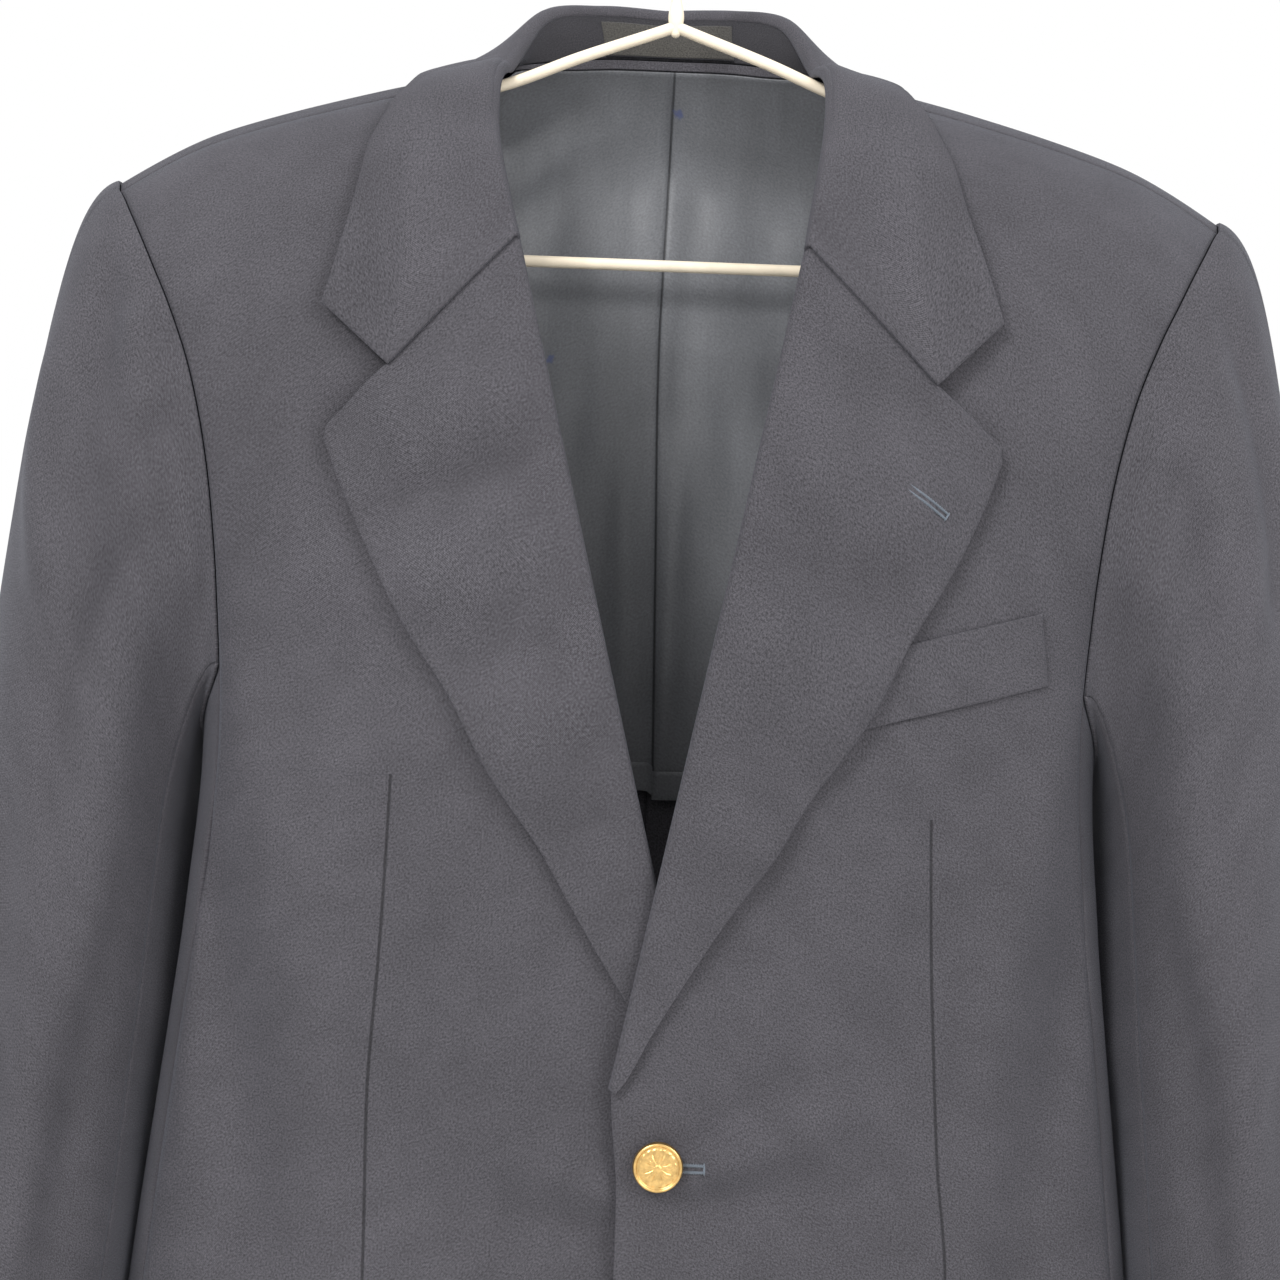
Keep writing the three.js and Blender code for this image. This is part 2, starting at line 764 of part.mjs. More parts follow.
// The collar's front end: along the gorge seam to the notch, then out to the collar tip
function collarEnd(side, share) {
  const { rollTop, notch, collarTip } = frontTables[side];
  const gorge = share < notchShare;
  const from = gorge ? [rollTop, rollTopHeight] : [side * notch.out, notch.height];
  const to = gorge ? [side * notch.out, notch.height] : [side * collarTip.out, collarTip.height];
  const part = gorge ? share / notchShare : (share - notchShare) / (1 - notchShare);
  return [mix(from[0], to[0], part), mix(from[1], to[1], part) + gorgeGap];
}

// Keeps a collar point clear of the shoulder beneath it
function clearOf(point, lift) {
  const isFront = point.y < 0;
  const fall = fallAt(point.x, isFront);
  const centre = ridgeHeight(Math.abs(point.x)) - fall;
  const fullness = isFront ? frontFullness(point.z) : backFullness(point.z);
  const depth = (isFront ? frontDepth : backDepth) * fullness
    * oblong(Math.abs(point.x) / halfWidth(point.z)) + lift;
  const rise = Math.max(0, point.z - centre);
  const share = Math.hypot(point.y / depth, rise / (fall + lift));
  if (share < 1) point.set(point.x, point.y / share, point.z + rise / share - rise);
  return point;
}

// A section of the collar as it springs from the crest, before the front end shapes it
function sprungPoint(along, share) {
  const start = crest(along);
  const { point: end, up } = collarEdge(along);
  const reach = start.distanceTo(end) / 3;
  const spring = facing(along).multiplyScalar(collarSpring.out).add(vector(0, 0, collarSpring.up));
  const first = start.clone().add(spring);
  const second = end.clone().addScaledVector(up, reach);
  return new THREE.CubicBezierCurve3(start, first, second, end).getPoint(share);
}

function collarPoint(along, share) {
  const side = Math.sign(along) || 1;
  const point = sprungPoint(along, share);
  const pull = ramp(Math.abs(along), shoulderEnd, frontEnd);
  const goal = collarEnd(side, share);
  const last = sprungPoint(side * frontEnd, share);
  point.x += (goal[0] - last.x) * pull;
  point.z += (goal[1] - last.z) * pull;
  const { z } = point;
  const lie = ramp(z, frontLieTop, frontLieBottom)
    * ramp(Math.abs(along), shoulderStation, shoulderEnd);
  clearOf(point, collarClear * ramp(share, 0, clearShare));
  point.z = mix(point.z, z, lie);
  point.y = mix(point.y, frontLie(point.x, point.z, lapelLift(share)), lie);
  return point;
}

const collarStations = Array.from({ length: 2 * cells.collarAlong + 1 }, (_, k) =>
  (frontEnd * (k - cells.collarAlong)) / cells.collarAlong);
const collarShares = [0, 0.2, 0.4, notchShare, 0.8, 1];
const fallGrid = collarStations.map((along) => collarShares.map((share) => collarPoint(along, share)));
addPiece('collar_fall', wallUnder(fallGrid, lapelWall, 1, 0.2), colours.cloth);

// Collar stand inside the neck, with the strip of neck facing below it
const standColumn = (name) => {
  const curve = curveOf(standTable, 'along', name);
  return (along) => curve(Math.abs(along));
};
const stand = Object.fromEntries(['out', 'back', 'height'].map((name) => [name, standColumn(name)]));
function standPoint(along, share) {
  const side = Math.sign(along) || 1;
  const top = crest(along).addScaledVector(facing(along), -standGap).add(vector(0, 0, -seamGap));
  const height = stand.height(along);
  const foot = vector(side * stand.out(along) + standShare * lean(height), stand.back(along), height);
  return top.lerp(foot, share).addScaledVector(facing(along), -standBow * Math.sin(Math.PI * share));
}
const stationsTo = (end, count) => Array.from({ length: 2 * count + 1 }, (_, k) =>
  (end * (k - count)) / count);
const standGrid = stationsTo(standEnd, cells.standAlong).map((along) =>
  [0, 0.35, 0.7, 1].map((share) => standPoint(along, share)));
addPiece('collar_stand', wallUnder(standGrid, standWall, -1), colours.cloth);

const facingGrid = stationsTo(facingEnd, cells.facingAlong).map((along) => {
  const foot = standPoint(along, 1);
  return [0, 1].map((share) => foot.clone()
    .add(vector(0, facingSlope * share, -2 * seamGap - facingDrop * share)));
});
addPiece('neck_facing', wallUnder(facingGrid, standWall, -1), colours.cloth);

// A bare patch where a label would be sewn to the stand
const patchGrid = stationsTo(patchEnd, cells.patchAlong).map((along) =>
  [patchTop, (patchTop + patchBottom) / 2, patchBottom].map((share) =>
    standPoint(along, share).addScaledVector(facing(along), -trimLift)));
addPiece('neck_patch', wallUnder(patchGrid, patchWall, 1), colours.patch);

// Lining of the upper back, in two halves
function liningPlaces(side) {
  const { liningAcross, liningDown } = cells;
  const topDrop = (out) =>
    mix(liningNeckDrop, liningTopDrop, ramp(out, liningSlope.from, liningSlope.to));
  const sideOut = curveOf(liningSideTable, 'height', 'out');
  const topOut = liningSideTable[0];
  const shares = (count) => Array.from({ length: count + 1 }, (_, k) => k / count);
  return shares(liningDown).map((down) => shares(liningAcross).map((share) => {
    const roughHeight = mix(liningSideTable[1].height, liningHem[side], down);
    const out = share * (down === 0 ? topOut.out : sideOut(roughHeight));
    const top = runAt(out, ridgeHeight(out) - topDrop(out), false);
    return [side * out, mix(top, runAt(out, liningHem[side], false), down)];
  }));
}
for (const side of both) {
  addPiece(`lining_${sideName[side]}`,
    panelOn(bodyPoint, liningPlaces(side), liningWall, -liningDepth), colours.lining, 0.5);
}

// Trim that lies on a front: a patch between four corners
function cornerPlaces(side, corners, columns, rows) {
  return Array.from({ length: rows + 1 }, (_, j) => Array.from({ length: columns + 1 }, (_c, i) => {
    const u = i / columns;
    const v = j / rows;
    const along = (key) => mix(
      mix(corners.topInner[key], corners.topOuter[key], u),
      mix(corners.bottomInner[key], corners.bottomOuter[key], u), v);
    return frontPlace(side * along('out'), along('height'));
  }));
}
addPiece('breast_welt',
  panelOn(fronts(1), cornerPlaces(1, weltCorners, 7, 2), trimWall, trimWall + trimLift), colours.cloth);
for (const side of both) {
  addPiece(`pocket_flap_${sideName[side]}`,
    panelOn(fronts(side), cornerPlaces(side, flapCorners, 8, 3), trimWall, trimWall + trimLift),
    colours.cloth);
}

// Sleeves. Each column starts at a point of the armhole seam and runs down to the cuff.
const sleeve = Object.fromEntries(['out', 'back', 'halfWide', 'halfDeep'].map((name) =>
  [name, curveOf(sleeveTable, 'height', name)]));

function foldRise(turn, height) {
  return sleeveFolds.reduce((sum, fold) => {
    const down = (height - fold.height) / fold.reach;
    const round = (turn - fold.turn + fold.lean * (height - fold.height)) / fold.spread;
    return sum + fold.rise * Math.exp(-down * down - round * round);
  }, 0);
}

function armPoint(side, turn, height) {
  const rise = foldRise(turn, height);
  return vector(
    side * (sleeve.out(height) + (sleeve.halfWide(height) + rise) * Math.cos(turn * degrees)),
    sleeve.back(height) - (sleeve.halfDeep(height) + rise) * Math.sin(turn * degrees),
    height,
  );
}

// The armhole loop: points, outward normals and the turn each takes round the sleeve
function armholeLoop(side) {
  const onBody = (surface) => ([u, v]) => ({ point: surface(u, v), normal: normalOf(surface, u, v) });
  const frontLoop = frontArmhole(side).map(onBody(fronts(side)));
  const sideLoop = sideTop(side).map(onBody(sides(side)));
  sideLoop.forEach((p) => p.normal.multiplyScalar(-side));
  const backLoop = backArmhole(side).map(onBody(bodyPoint)).reverse();
  const loop = [...frontLoop, ...sideLoop.slice(1), ...backLoop.slice(1)];
  const knots = [
    { index: 0, turn: sleeveTurns.start },
    { index: cells.armholeFront, turn: sleeveTurns.frontSeam },
    { index: cells.armholeFront + cells.sideAcross, turn: sleeveTurns.backSeam },
    { index: loop.length - 1, turn: sleeveTurns.end },
  ];
  loop.forEach((p, i) => {
    const k = knots.findIndex((knot) => knot.index >= i) || 1;
    const [a, b] = [knots[k - 1], knots[k]];
    p.turn = mix(a.turn, b.turn, (i - a.index) / (b.index - a.index));
    const before = loop[i === 0 ? loop.length - 2 : i - 1].point;
    const after = loop[i === loop.length - 1 ? 1 : i + 1].point;
    const along = after.clone().sub(before);
    p.away = p.normal.clone().cross(along).normalize().multiplyScalar(side);
  });
  return loop;
}

function sleeveColumn(side, start) {
  const joinHeight = headJoinMean + headJoinTilt * Math.cos(start.turn * degrees);
  const from = start.point.clone().addScaledVector(start.away, seamGap);
  const join = armPoint(side, start.turn, joinHeight);
  const below = armPoint(side, start.turn, joinHeight - 10);
  const length = start.point.distanceTo(join);
  const leave = start.away.clone().multiplyScalar(headSpring * length)
    .addScaledVector(start.normal, headPuff * length);
  const arrive = below.sub(join).normalize().multiplyScalar(headArrive * length);
  const points = [];
  for (let k = 0; k < headRows; k += 1) {
    const t = k / headRows;
    const rise = ramp(t, 0, 1);
    points.push(from.clone().lerp(join, rise)
      .addScaledVector(leave, t * (1 - t) ** 2)
      .addScaledVector(arrive, -t * t * (1 - t)));
  }
  for (let k = 0; k <= armRows; k += 1) {
    points.push(armPoint(side, start.turn, mix(joinHeight, cuffHeight, k / armRows)));
  }
  return points;
}

const underFrom = cells.armholeFront;
const underTo = cells.armholeFront + cells.sideAcross + underSleeveExtra;
const loopEnd = cells.armholeFront + cells.sideAcross + cells.armholeBack;
for (const side of both) {
  const loop = armholeLoop(side);
  const columns = loop.map((start) => sleeveColumn(side, start));
  const wrap = (i) => (i + loopEnd) % loopEnd;
  const order = Array.from({ length: loopEnd - (underTo - underFrom) + 1 }, (_, k) => wrap(underTo + k));
  const grids = {
    top_sleeve: order.map((i) => columns[i]),
    under_sleeve: columns.slice(underFrom, underTo + 1),
  };
  const pad = {
    top_sleeve: [columns[underTo - 1], columns[underFrom + 1]],
    under_sleeve: [columns[underFrom - 1], columns[underTo + 1]],
  };
  for (const [name, strip] of Object.entries(grids)) {
    const wide = [pad[name][0], ...strip, pad[name][1]];
    const normalAt = (i, j) => {
      const down = wide[i][Math.min(j + 1, wide[i].length - 1)].clone().sub(wide[i][Math.max(j - 1, 0)]);
      const along = wide[i + 1][j].clone().sub(wide[i - 1][j]);
      return down.cross(along).normalize().multiplyScalar(side);
    };
    const layer = (depth) => strip[0].map((_, j) => strip.map((column, i) =>
      column[j].clone().addScaledVector(normalAt(i + 1, j), -depth)));
    const wall = wallFrom(drawIn(layer(0), sleeveGap), drawIn(layer(clothWall), sleeveGap));
    addPiece(`${name}_${sideName[side]}`, wall, colours.cloth);
  }
}

// Hanger: a hook and stem, two arms that run under the shoulders, and the bar below
function tubeAlong(points, radius, steps, facets = 8) {
  const path = new THREE.CatmullRomCurve3(points, false, 'centripetal');
  const ring = new THREE.Shape(Array.from({ length: facets }, (_, k) => {
    const angle = (2 * Math.PI * k) / facets;
    return new THREE.Vector2(radius * Math.cos(angle), radius * Math.sin(angle));
  }));
  return new THREE.ExtrudeGeometry(ring, { steps, bevelEnabled: false, extrudePath: path });
}

const hookArc = [180, 150, 120, 90, 60, 30, 0, -30].map((angle) => vector(
  hookBend * Math.cos(angle * degrees), 0,
  hookRadius - hookBend + hookBend * Math.sin(angle * degrees)));
const stem = stemTable.map((row) => vector(row.out, 0, row.height));
addPiece('hanger_hook', tubeAlong([...hookArc, ...stem], hookRadius, 30), colours.hanger, 0.4);

for (const side of both) {
  const arm = hangerTable.map((row) => vector(side * row.out, 0, row.height));
  const bend = [70, 35, 0, -35, -65, -90].map((angle) => vector(
    side * (hangerTurnOut + 3 * seamGap + hangerTurnRadius * Math.cos(angle * degrees)), 0,
    barHeight + hangerTurnRadius * (1 + Math.sin(angle * degrees))));
  addPiece(`hanger_arm_${sideName[side]}`, tubeAlong([...arm, ...bend], tubeRadius, 30),
    colours.hanger, 0.4);
}
addPiece('hanger_bar', tubeAlong(
  [-1, 0, 1].map((end) => vector(end * hangerTurnOut, 0, barHeight)), tubeRadius, 6),
colours.hanger, 0.4);

// Metal buttons with a shank, sewn at the centre front
const buttonProfile = [
  [0, 0], [2.4, 0], [2.4, 2.6], [8.6, 2.6], [9.7, 3.3], [10, 4.3], [9.6, 5.4],
  [8.8, 5.9], [8.2, 5.6], [6, 6.4], [3, 7], [0, 7.2],
].map(([radius, height]) => new THREE.Vector2((radius * buttonRadius) / 10, height));
const buttonNames = ['button_upper', 'button_lower'];
buttonHeights.forEach((height, k) => {
  const surface = bodyPoint(centreFront, runAt(centreFront, height, true));
  const button = addPiece(buttonNames[k], new THREE.LatheGeometry(buttonProfile, 20),
    colours.button, 0.35, 0.9);
  button.rotation.x = 180 * degrees;
  button.position.set(centreFront, surface.y - seamGap, height);
});

export default jacket;
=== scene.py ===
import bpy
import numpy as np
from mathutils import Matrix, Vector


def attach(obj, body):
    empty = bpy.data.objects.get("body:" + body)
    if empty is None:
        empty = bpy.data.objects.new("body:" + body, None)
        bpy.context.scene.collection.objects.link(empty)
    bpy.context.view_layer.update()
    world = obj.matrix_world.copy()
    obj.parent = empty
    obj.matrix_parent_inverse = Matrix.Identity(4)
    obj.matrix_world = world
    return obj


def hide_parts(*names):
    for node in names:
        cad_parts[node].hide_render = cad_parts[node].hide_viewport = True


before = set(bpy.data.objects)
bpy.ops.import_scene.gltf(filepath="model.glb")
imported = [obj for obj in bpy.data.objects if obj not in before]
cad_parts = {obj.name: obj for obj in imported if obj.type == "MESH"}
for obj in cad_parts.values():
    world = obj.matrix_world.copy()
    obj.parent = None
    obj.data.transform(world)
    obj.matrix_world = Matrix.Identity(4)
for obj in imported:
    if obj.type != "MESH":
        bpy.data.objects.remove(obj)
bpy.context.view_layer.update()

# %% [markdown]
# # A tailored jacket on a hanger
#
# The jacket is a dark worsted blazer that hangs from a thin coated tube. Its panels are
# surfaces: a body that falls from the shoulder line as a rounded oblong, sleeves that leave
# the armhole seam, and a collar and lapels that turn back over the fronts. Each surface is
# worked out with numpy as a function of two parameters and given its two faces and a rounded
# rim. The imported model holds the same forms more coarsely, so each piece here replaces a node.

MM = 0.001

# %% [markdown]
# ## Camera, floor and light
#
# The photograph is taken from a step away, square to the chest, with the camera turned a
# little about its own axis, so the jacket leans clockwise. A camera's direction could be set
# by an aim target; here its axes are written out, which keeps the small turn exact. The light
# is plain and soft: a white world and two large panels above the lens.

# %% Camera
CAMERA_PLACE = (-5.3, -925.0, -336.0)
CAMERA_TURN = np.radians(2.2)
CAMERA_LENS = 60.5
SENSOR_WIDTH = 36.0

camera_data = bpy.data.cameras.new("camera")
camera_data.lens = CAMERA_LENS
camera_data.sensor_width = SENSOR_WIDTH
camera_data.clip_start = 0.01
camera = bpy.data.objects.new("camera", camera_data)
cosine, sine = float(np.cos(CAMERA_TURN)), float(np.sin(CAMERA_TURN))
camera.matrix_world = Matrix((
    (cosine, -sine, 0.0, CAMERA_PLACE[0] * MM),
    (0.0, 0.0, -1.0, CAMERA_PLACE[1] * MM),
    (sine, cosine, 0.0, CAMERA_PLACE[2] * MM),
    (0.0, 0.0, 0.0, 1.0),
))
bpy.context.scene.collection.objects.link(camera)
bpy.context.scene.camera = camera
print("camera at", CAMERA_PLACE, "mm")

# %% Floor and light
FLOOR_HEIGHT = -1.72
FLOOR_HALF = 2.6
scene = bpy.context.scene
scene.view_settings.view_transform = "Standard"
scene.view_settings.look = "None"

world = bpy.data.worlds.new("white_room")
world.use_nodes = True
world.node_tree.nodes["Background"].inputs["Color"].default_value = (1.0, 1.0, 1.0, 1.0)
world.node_tree.nodes["Background"].inputs["Strength"].default_value = 1.0
scene.world = world


LIGHT_AIM = (0.0, 0.0, -0.35)


def soft_panel(name, place, width, power):
    """A square light that faces the chest."""
    data = bpy.data.lights.new(name, "AREA")
    data.size = width
    data.energy = power
    light = bpy.data.objects.new(name, data)
    light.location = place
    light.rotation_euler = (Vector(place) - Vector(LIGHT_AIM)).to_track_quat("Z", "Y").to_euler()
    scene.collection.objects.link(light)


soft_panel("panel_left", (-1.2, -1.9, 1.2), 0.9, 47.0)
soft_panel("panel_right", (1.7, -1.9, 0.7), 1.2, 33.0)

floor_mesh = bpy.data.meshes.new("floor")
floor_mesh.from_pydata([(x * FLOOR_HALF, y * FLOOR_HALF, FLOOR_HEIGHT)
                        for x, y in ((-1, -1), (1, -1), (1, 1), (-1, 1))], [], [(0, 1, 2, 3)])
floor = bpy.data.objects.new("floor", floor_mesh)
scene.collection.objects.link(floor)
floor_material = bpy.data.materials.new("pale_floor")
floor_material.use_nodes = True
floor_shader = floor_material.node_tree.nodes["Principled BSDF"]
floor_shader.inputs["Base Color"].default_value = (0.86, 0.86, 0.85, 1.0)
floor_shader.inputs["Roughness"].default_value = 0.8
floor_mesh.materials.append(floor_material)
print("floor at", FLOOR_HEIGHT, "m")

# %% [markdown]
# ## Curves through short tables
#
# A maker measures a garment at a few places and lets the line run fair between them. The
# sizes here are kept the same way: short tables with named columns, read by a smooth curve.

# %% Reading tables
LEFT, RIGHT = 1, -1  # the wearer's sides
SIDE_NAMES = {LEFT: "left", RIGHT: "right"}


def ramp(value, start, end):
    """Rises smoothly from 0 at start to 1 at end: 3t^2 - 2t^3."""
    share = np.clip((np.asarray(value, float) - start) / (end - start), 0.0, 1.0)
    return share * share * (3.0 - 2.0 * share)


def mix(a, b, share):
    """a where share is 0, b where it is 1."""
    return a + (b - a) * share


def curve_of(table, source, target):
    """A cubic through a table's points, its slope at each point taken from the neighbours."""
    order = np.argsort(table[source])
    x = np.asarray(table[source], float)[order]
    y = np.asarray(table[target], float)[order]
    before = np.maximum(np.arange(len(x)) - 1, 0)
    after = np.minimum(np.arange(len(x)) + 1, len(x) - 1)
    slope = (y[after] - y[before]) / (x[after] - x[before])

    def at(value):
        place = np.clip(np.asarray(value, float), x[0], x[-1])
        i = np.clip(np.searchsorted(x, place) - 1, 0, len(x) - 2)
        span = x[i + 1] - x[i]
        t = (place - x[i]) / span
        rise = mix(y[i], y[i + 1], 3 * t**2 - 2 * t**3)
        return rise + span * (t * (1 - t) ** 2 * slope[i] - t**2 * (1 - t) * slope[i + 1])

    return at


def spaced(points, stations):
    """Points along a smooth curve through the given ones, at shares of its length."""
    points = np.asarray(points, float)
    chord = np.r_[0.0, np.cumsum(np.linalg.norm(np.diff(points, axis=0), axis=1))]
    fine = np.linspace(0.0, chord[-1], 1200)
    line = np.stack([curve_of({"at": chord, "v": points[:, k]}, "at", "v")(fine)
                     for k in range(points.shape[1])], axis=-1)
    length = np.r_[0.0, np.cumsum(np.linalg.norm(np.diff(line, axis=0), axis=1))]
    want = np.asarray(stations) * length[-1]
    return np.stack([np.interp(want, length, line[:, k]) for k in range(points.shape[1])], -1)


def unit(vectors):
    """Vectors scaled to length one."""
    return vectors / np.maximum(np.linalg.norm(vectors, axis=-1, keepdims=True), 1e-9)


print("curves ready")

# %% [markdown]
# ## The body
#
# A hanging jacket takes its form from the shoulders. From the shoulder line each side falls
# as a quarter of an ellipse and then hangs straight, and every level is a rounded oblong.
# A place on it is how far across it lies and its run from the shoulder line, positive down
# the front. One formula for front and back keeps the two sides of each seam together.

# %% Body sizes
FRONT_DEPTH, BACK_DEPTH = 78.0, 68.0
SECTION_POWER = 2.5
CENTRE_FRONT = 9.6
UNDER_FRONT_PUSH, LAP_RAMP = 6.5, (-85, -5)  # depth under the lap; where it sets in

RIDGE = {"out": [0, 40, 80, 126, 173, 202, 236.5, 290],
         "height": [-66, -80, -94, -105.5, -119, -130, -150, -186]}
WIDTH = {"height": [-50, -150, -207, -272, -330, -385, -450, -500, -590, -700, -860],
         "half": [292, 268, 245, 214, 195, 191, 197, 203, 214, 225, 235]}
FULLNESS = {"height": [-50, -300, -420, -540, -680, -860],
            "front": [1.0, 1.0, 1.02, 0.98, 1.03, 1.12],
            "back": [1.0, 1.0, 0.96, 0.92, 1.0, 1.08]}
FRONT_FALL = {"out": [0, 80, 160, 240, 290], "fall": [300, 290, 200, 140, 130]}
BACK_FALL = {"out": [0, 60, 130, 290], "fall": [60, 72, 105, 112]}

ridge_height = curve_of(RIDGE, "out", "height")
half_width = curve_of(WIDTH, "height", "half")
front_fullness = curve_of(FULLNESS, "height", "front")
back_fullness = curve_of(FULLNESS, "height", "back")
front_fall = curve_of(FRONT_FALL, "out", "fall")
back_fall = curve_of(BACK_FALL, "out", "fall")


def oblong(share):
    """Depth of a rounded oblong at a share of its half width: (1 - s^n)^(1/n)."""
    return np.maximum(0.0, 1 - np.minimum(1.0, share) ** SECTION_POWER) ** (1 / SECTION_POWER)


def fall_and_crown(across, is_front):
    """How far a column falls before it hangs straight, and the run that this takes."""
    out = np.abs(across)
    fall = np.where(is_front, front_fall(out), back_fall(out))
    depth = np.where(is_front, FRONT_DEPTH, BACK_DEPTH)
    return fall, depth, np.pi / 2 * np.hypot(fall, depth) / np.sqrt(2)


def body_point(across, run):
    """Quarter ellipse from the shoulder line, then straight down; the oblong sets the depth."""
    across, run = np.broadcast_arrays(np.asarray(across, float), np.asarray(run, float))
    is_front = run >= 0
    fall, depth, crown = fall_and_crown(across, is_front)
    turn = np.minimum(np.abs(run) / crown, 1.0) * np.pi / 2
    drop = fall * (1 - np.cos(turn)) + np.maximum(0.0, np.abs(run) - crown)
    height = ridge_height(np.abs(across)) - drop
    fullness = np.where(is_front, front_fullness(height), back_fullness(height))
    reach = depth * fullness * np.sin(turn) * oblong(np.abs(across) / half_width(height))
    return np.stack([across, np.where(is_front, -reach, reach), height], axis=-1)


def run_at(across, height, is_front):
    """The run at which a column reaches a height."""
    fall, _, crown = fall_and_crown(across, is_front)
    drop = np.maximum(0.0, ridge_height(np.abs(across)) - height)
    turn = np.arccos(np.clip(1 - drop / fall, 0.0, 1.0))
    length = np.where(drop < fall, turn / (np.pi / 2) * crown, crown + drop - fall)
    return np.where(is_front, length, -length)


def place_of(points, is_front=True):
    """(across, height) points as (across, run) places on the front or the back."""
    points = np.asarray(points, float)
    return np.stack([points[..., 0], run_at(points[..., 0], points[..., 1], is_front)], axis=-1)


def front_of(side):
    """The body surface of one front. The right front is set back where the left laps over."""
    def surface(across, run):
        point = body_point(across, run)
        if side == RIGHT:
            point[..., 1] += UNDER_FRONT_PUSH * ramp(across, *LAP_RAMP) * (np.asarray(run) > 0)
        return point
    return surface


def normal_of(surface, u, v, step=0.4):
    """Outward normal of a surface of two parameters, by central differences."""
    along = surface(u + step, v) - surface(u - step, v)
    down = surface(u, v + step) - surface(u, v - step)
    return unit(np.cross(down, along))


print("chest half width", float(half_width(-385)), "mm")

# %% [markdown]
# ## Cloth walls
#
# Each cut piece is a wall of cloth: a grid of points on its outer face, a second grid one
# thickness inside, and a rim that turns from one to the other. A modifier could thicken a
# sheet, but a written rim stays closed and lets two pieces meet at a seam as a fine groove.

# %% Wall builder
RIM_TURNS, RIM_SINK = 4, 0.06
SEAM_PULL = 0.28  # how far an edge is drawn in from its seam line
SEAM_ZERO = 1.0  # a seam mark is this on its line, so that no mark at all reads as far away
CLOTH_WALL, LAPEL_WALL, STAND_WALL = 1.6, 1.8, 1.4
LINING_WALL, TRIM_WALL, PATCH_WALL, HEM_WALL = 1.0, 1.1, 0.8, 0.7
pieces = {}


def grid_normals(grid):
    """Normals of a grid of points, from the differences of its neighbours."""
    down = np.gradient(grid, axis=0)
    along = np.gradient(grid, axis=1)
    return unit(np.cross(down, along))


def border_of(rows, columns):
    """Indices of a grid's border points, once round, and of the point inside each."""
    index = np.arange(rows * columns).reshape(rows, columns)
    inside = index[np.ix_(np.clip(np.arange(rows), 1, rows - 2),
                          np.clip(np.arange(columns), 1, columns - 2))]
    loop = [(slice(0, 1), slice(0, -1)), (slice(0, -1), slice(-1, None)),
            (slice(-1, None), slice(-1, 0, -1)), (slice(-1, 0, -1), slice(0, 1))]
    return (np.concatenate([index[a, b].ravel() for a, b in loop]),
            np.concatenate([inside[a, b].ravel() for a, b in loop]))


def quads_of(index):
    """Four-cornered faces of a grid of vertex indices."""
    return np.stack([index[:-1, :-1], index[1:, :-1], index[1:, 1:], index[:-1, 1:]],
                    axis=-1).reshape(-1, 4)


def signed_volume(points, quads):
    """Volume inside the faces: a sixth of the sum of the triangles' triple products."""
    a, b, c, d = (points[quads[:, k]] for k in range(4))
    return float((np.einsum("ij,ij->i", a, np.cross(b, c))
                  + np.einsum("ij,ij->i", a, np.cross(c, d))).sum() / 6)


def make_mesh(name, points, quads, places, material):
    """A smooth mesh object in metres, faces outward, with places as its UV map."""
    if signed_volume(points, quads) < 0:
        quads = quads[:, ::-1]
    mesh = bpy.data.meshes.new(name)
    mesh.vertices.add(len(points))
    mesh.vertices.foreach_set("co", (points * MM).astype(np.float32).ravel())
    mesh.loops.add(quads.size)
    mesh.loops.foreach_set("vertex_index", quads.astype(np.int32).ravel())
    mesh.polygons.add(len(quads))
    mesh.polygons.foreach_set("loop_start", np.arange(0, quads.size, 4, dtype=np.int32))
    mesh.update(calc_edges=True)
    mesh.polygons.foreach_set("use_smooth", np.ones(len(quads), bool))
    layer = mesh.uv_layers.new(name="cut")
    layer.data.foreach_set("uv", (places[quads.ravel()] * MM).astype(np.float32).ravel())
    mesh.validate()
    mesh.materials.append(material)
    made = bpy.data.objects.new(name, mesh)
    scene.collection.objects.link(made)
    pieces[name] = made
    return made


def cloth_wall(name, grid, wall, material, normals=None, places=None, pull=SEAM_PULL):
    """Closed wall under a grid: the inner face lies one wall inside, the rim is half round."""
    rows, columns = grid.shape[:2]
    normals = grid_normals(grid) if normals is None else normals
    outer = grid.reshape(-1, 3).copy()
    inner = (grid - normals * wall).reshape(-1, 3)
    border, inside = border_of(rows, columns)
    away = unit(outer[border] - outer[inside])
    outer[border] -= away * pull
    inner[border] -= away * pull
    middle, half = (outer[border] + inner[border]) / 2, (outer[border] - inner[border]) / 2
    angles = np.pi * np.arange(1, RIM_TURNS) / RIM_TURNS
    rim = np.concatenate([middle + half * np.cos(a) + away * (pull - RIM_SINK) * np.sin(a)
                          for a in angles])
    points = np.concatenate([outer, inner, rim])
    count = rows * columns
    index = np.arange(count).reshape(rows, columns)
    rings = np.stack([border] + [2 * count + k * len(border) + np.arange(len(border))
                                 for k in range(RIM_TURNS - 1)] + [border + count])
    rings = np.concatenate([rings, rings[:, :1]], axis=1)
    quads = np.concatenate([quads_of(index), quads_of(index + count)[:, ::-1],
                            quads_of(rings)[:, ::-1]])
    if places is None:
        along = np.linalg.norm(np.diff(grid, axis=1, prepend=grid[:, :1]), axis=-1).cumsum(1)
        down = np.linalg.norm(np.diff(grid, axis=0, prepend=grid[:1]), axis=-1).cumsum(0)
        places = np.stack([along, down], axis=-1)
    flat = places.reshape(-1, 2)
    flat = np.concatenate([flat, flat] + [flat[border]] * (RIM_TURNS - 1))
    return make_mesh(name, points, quads, flat, material)


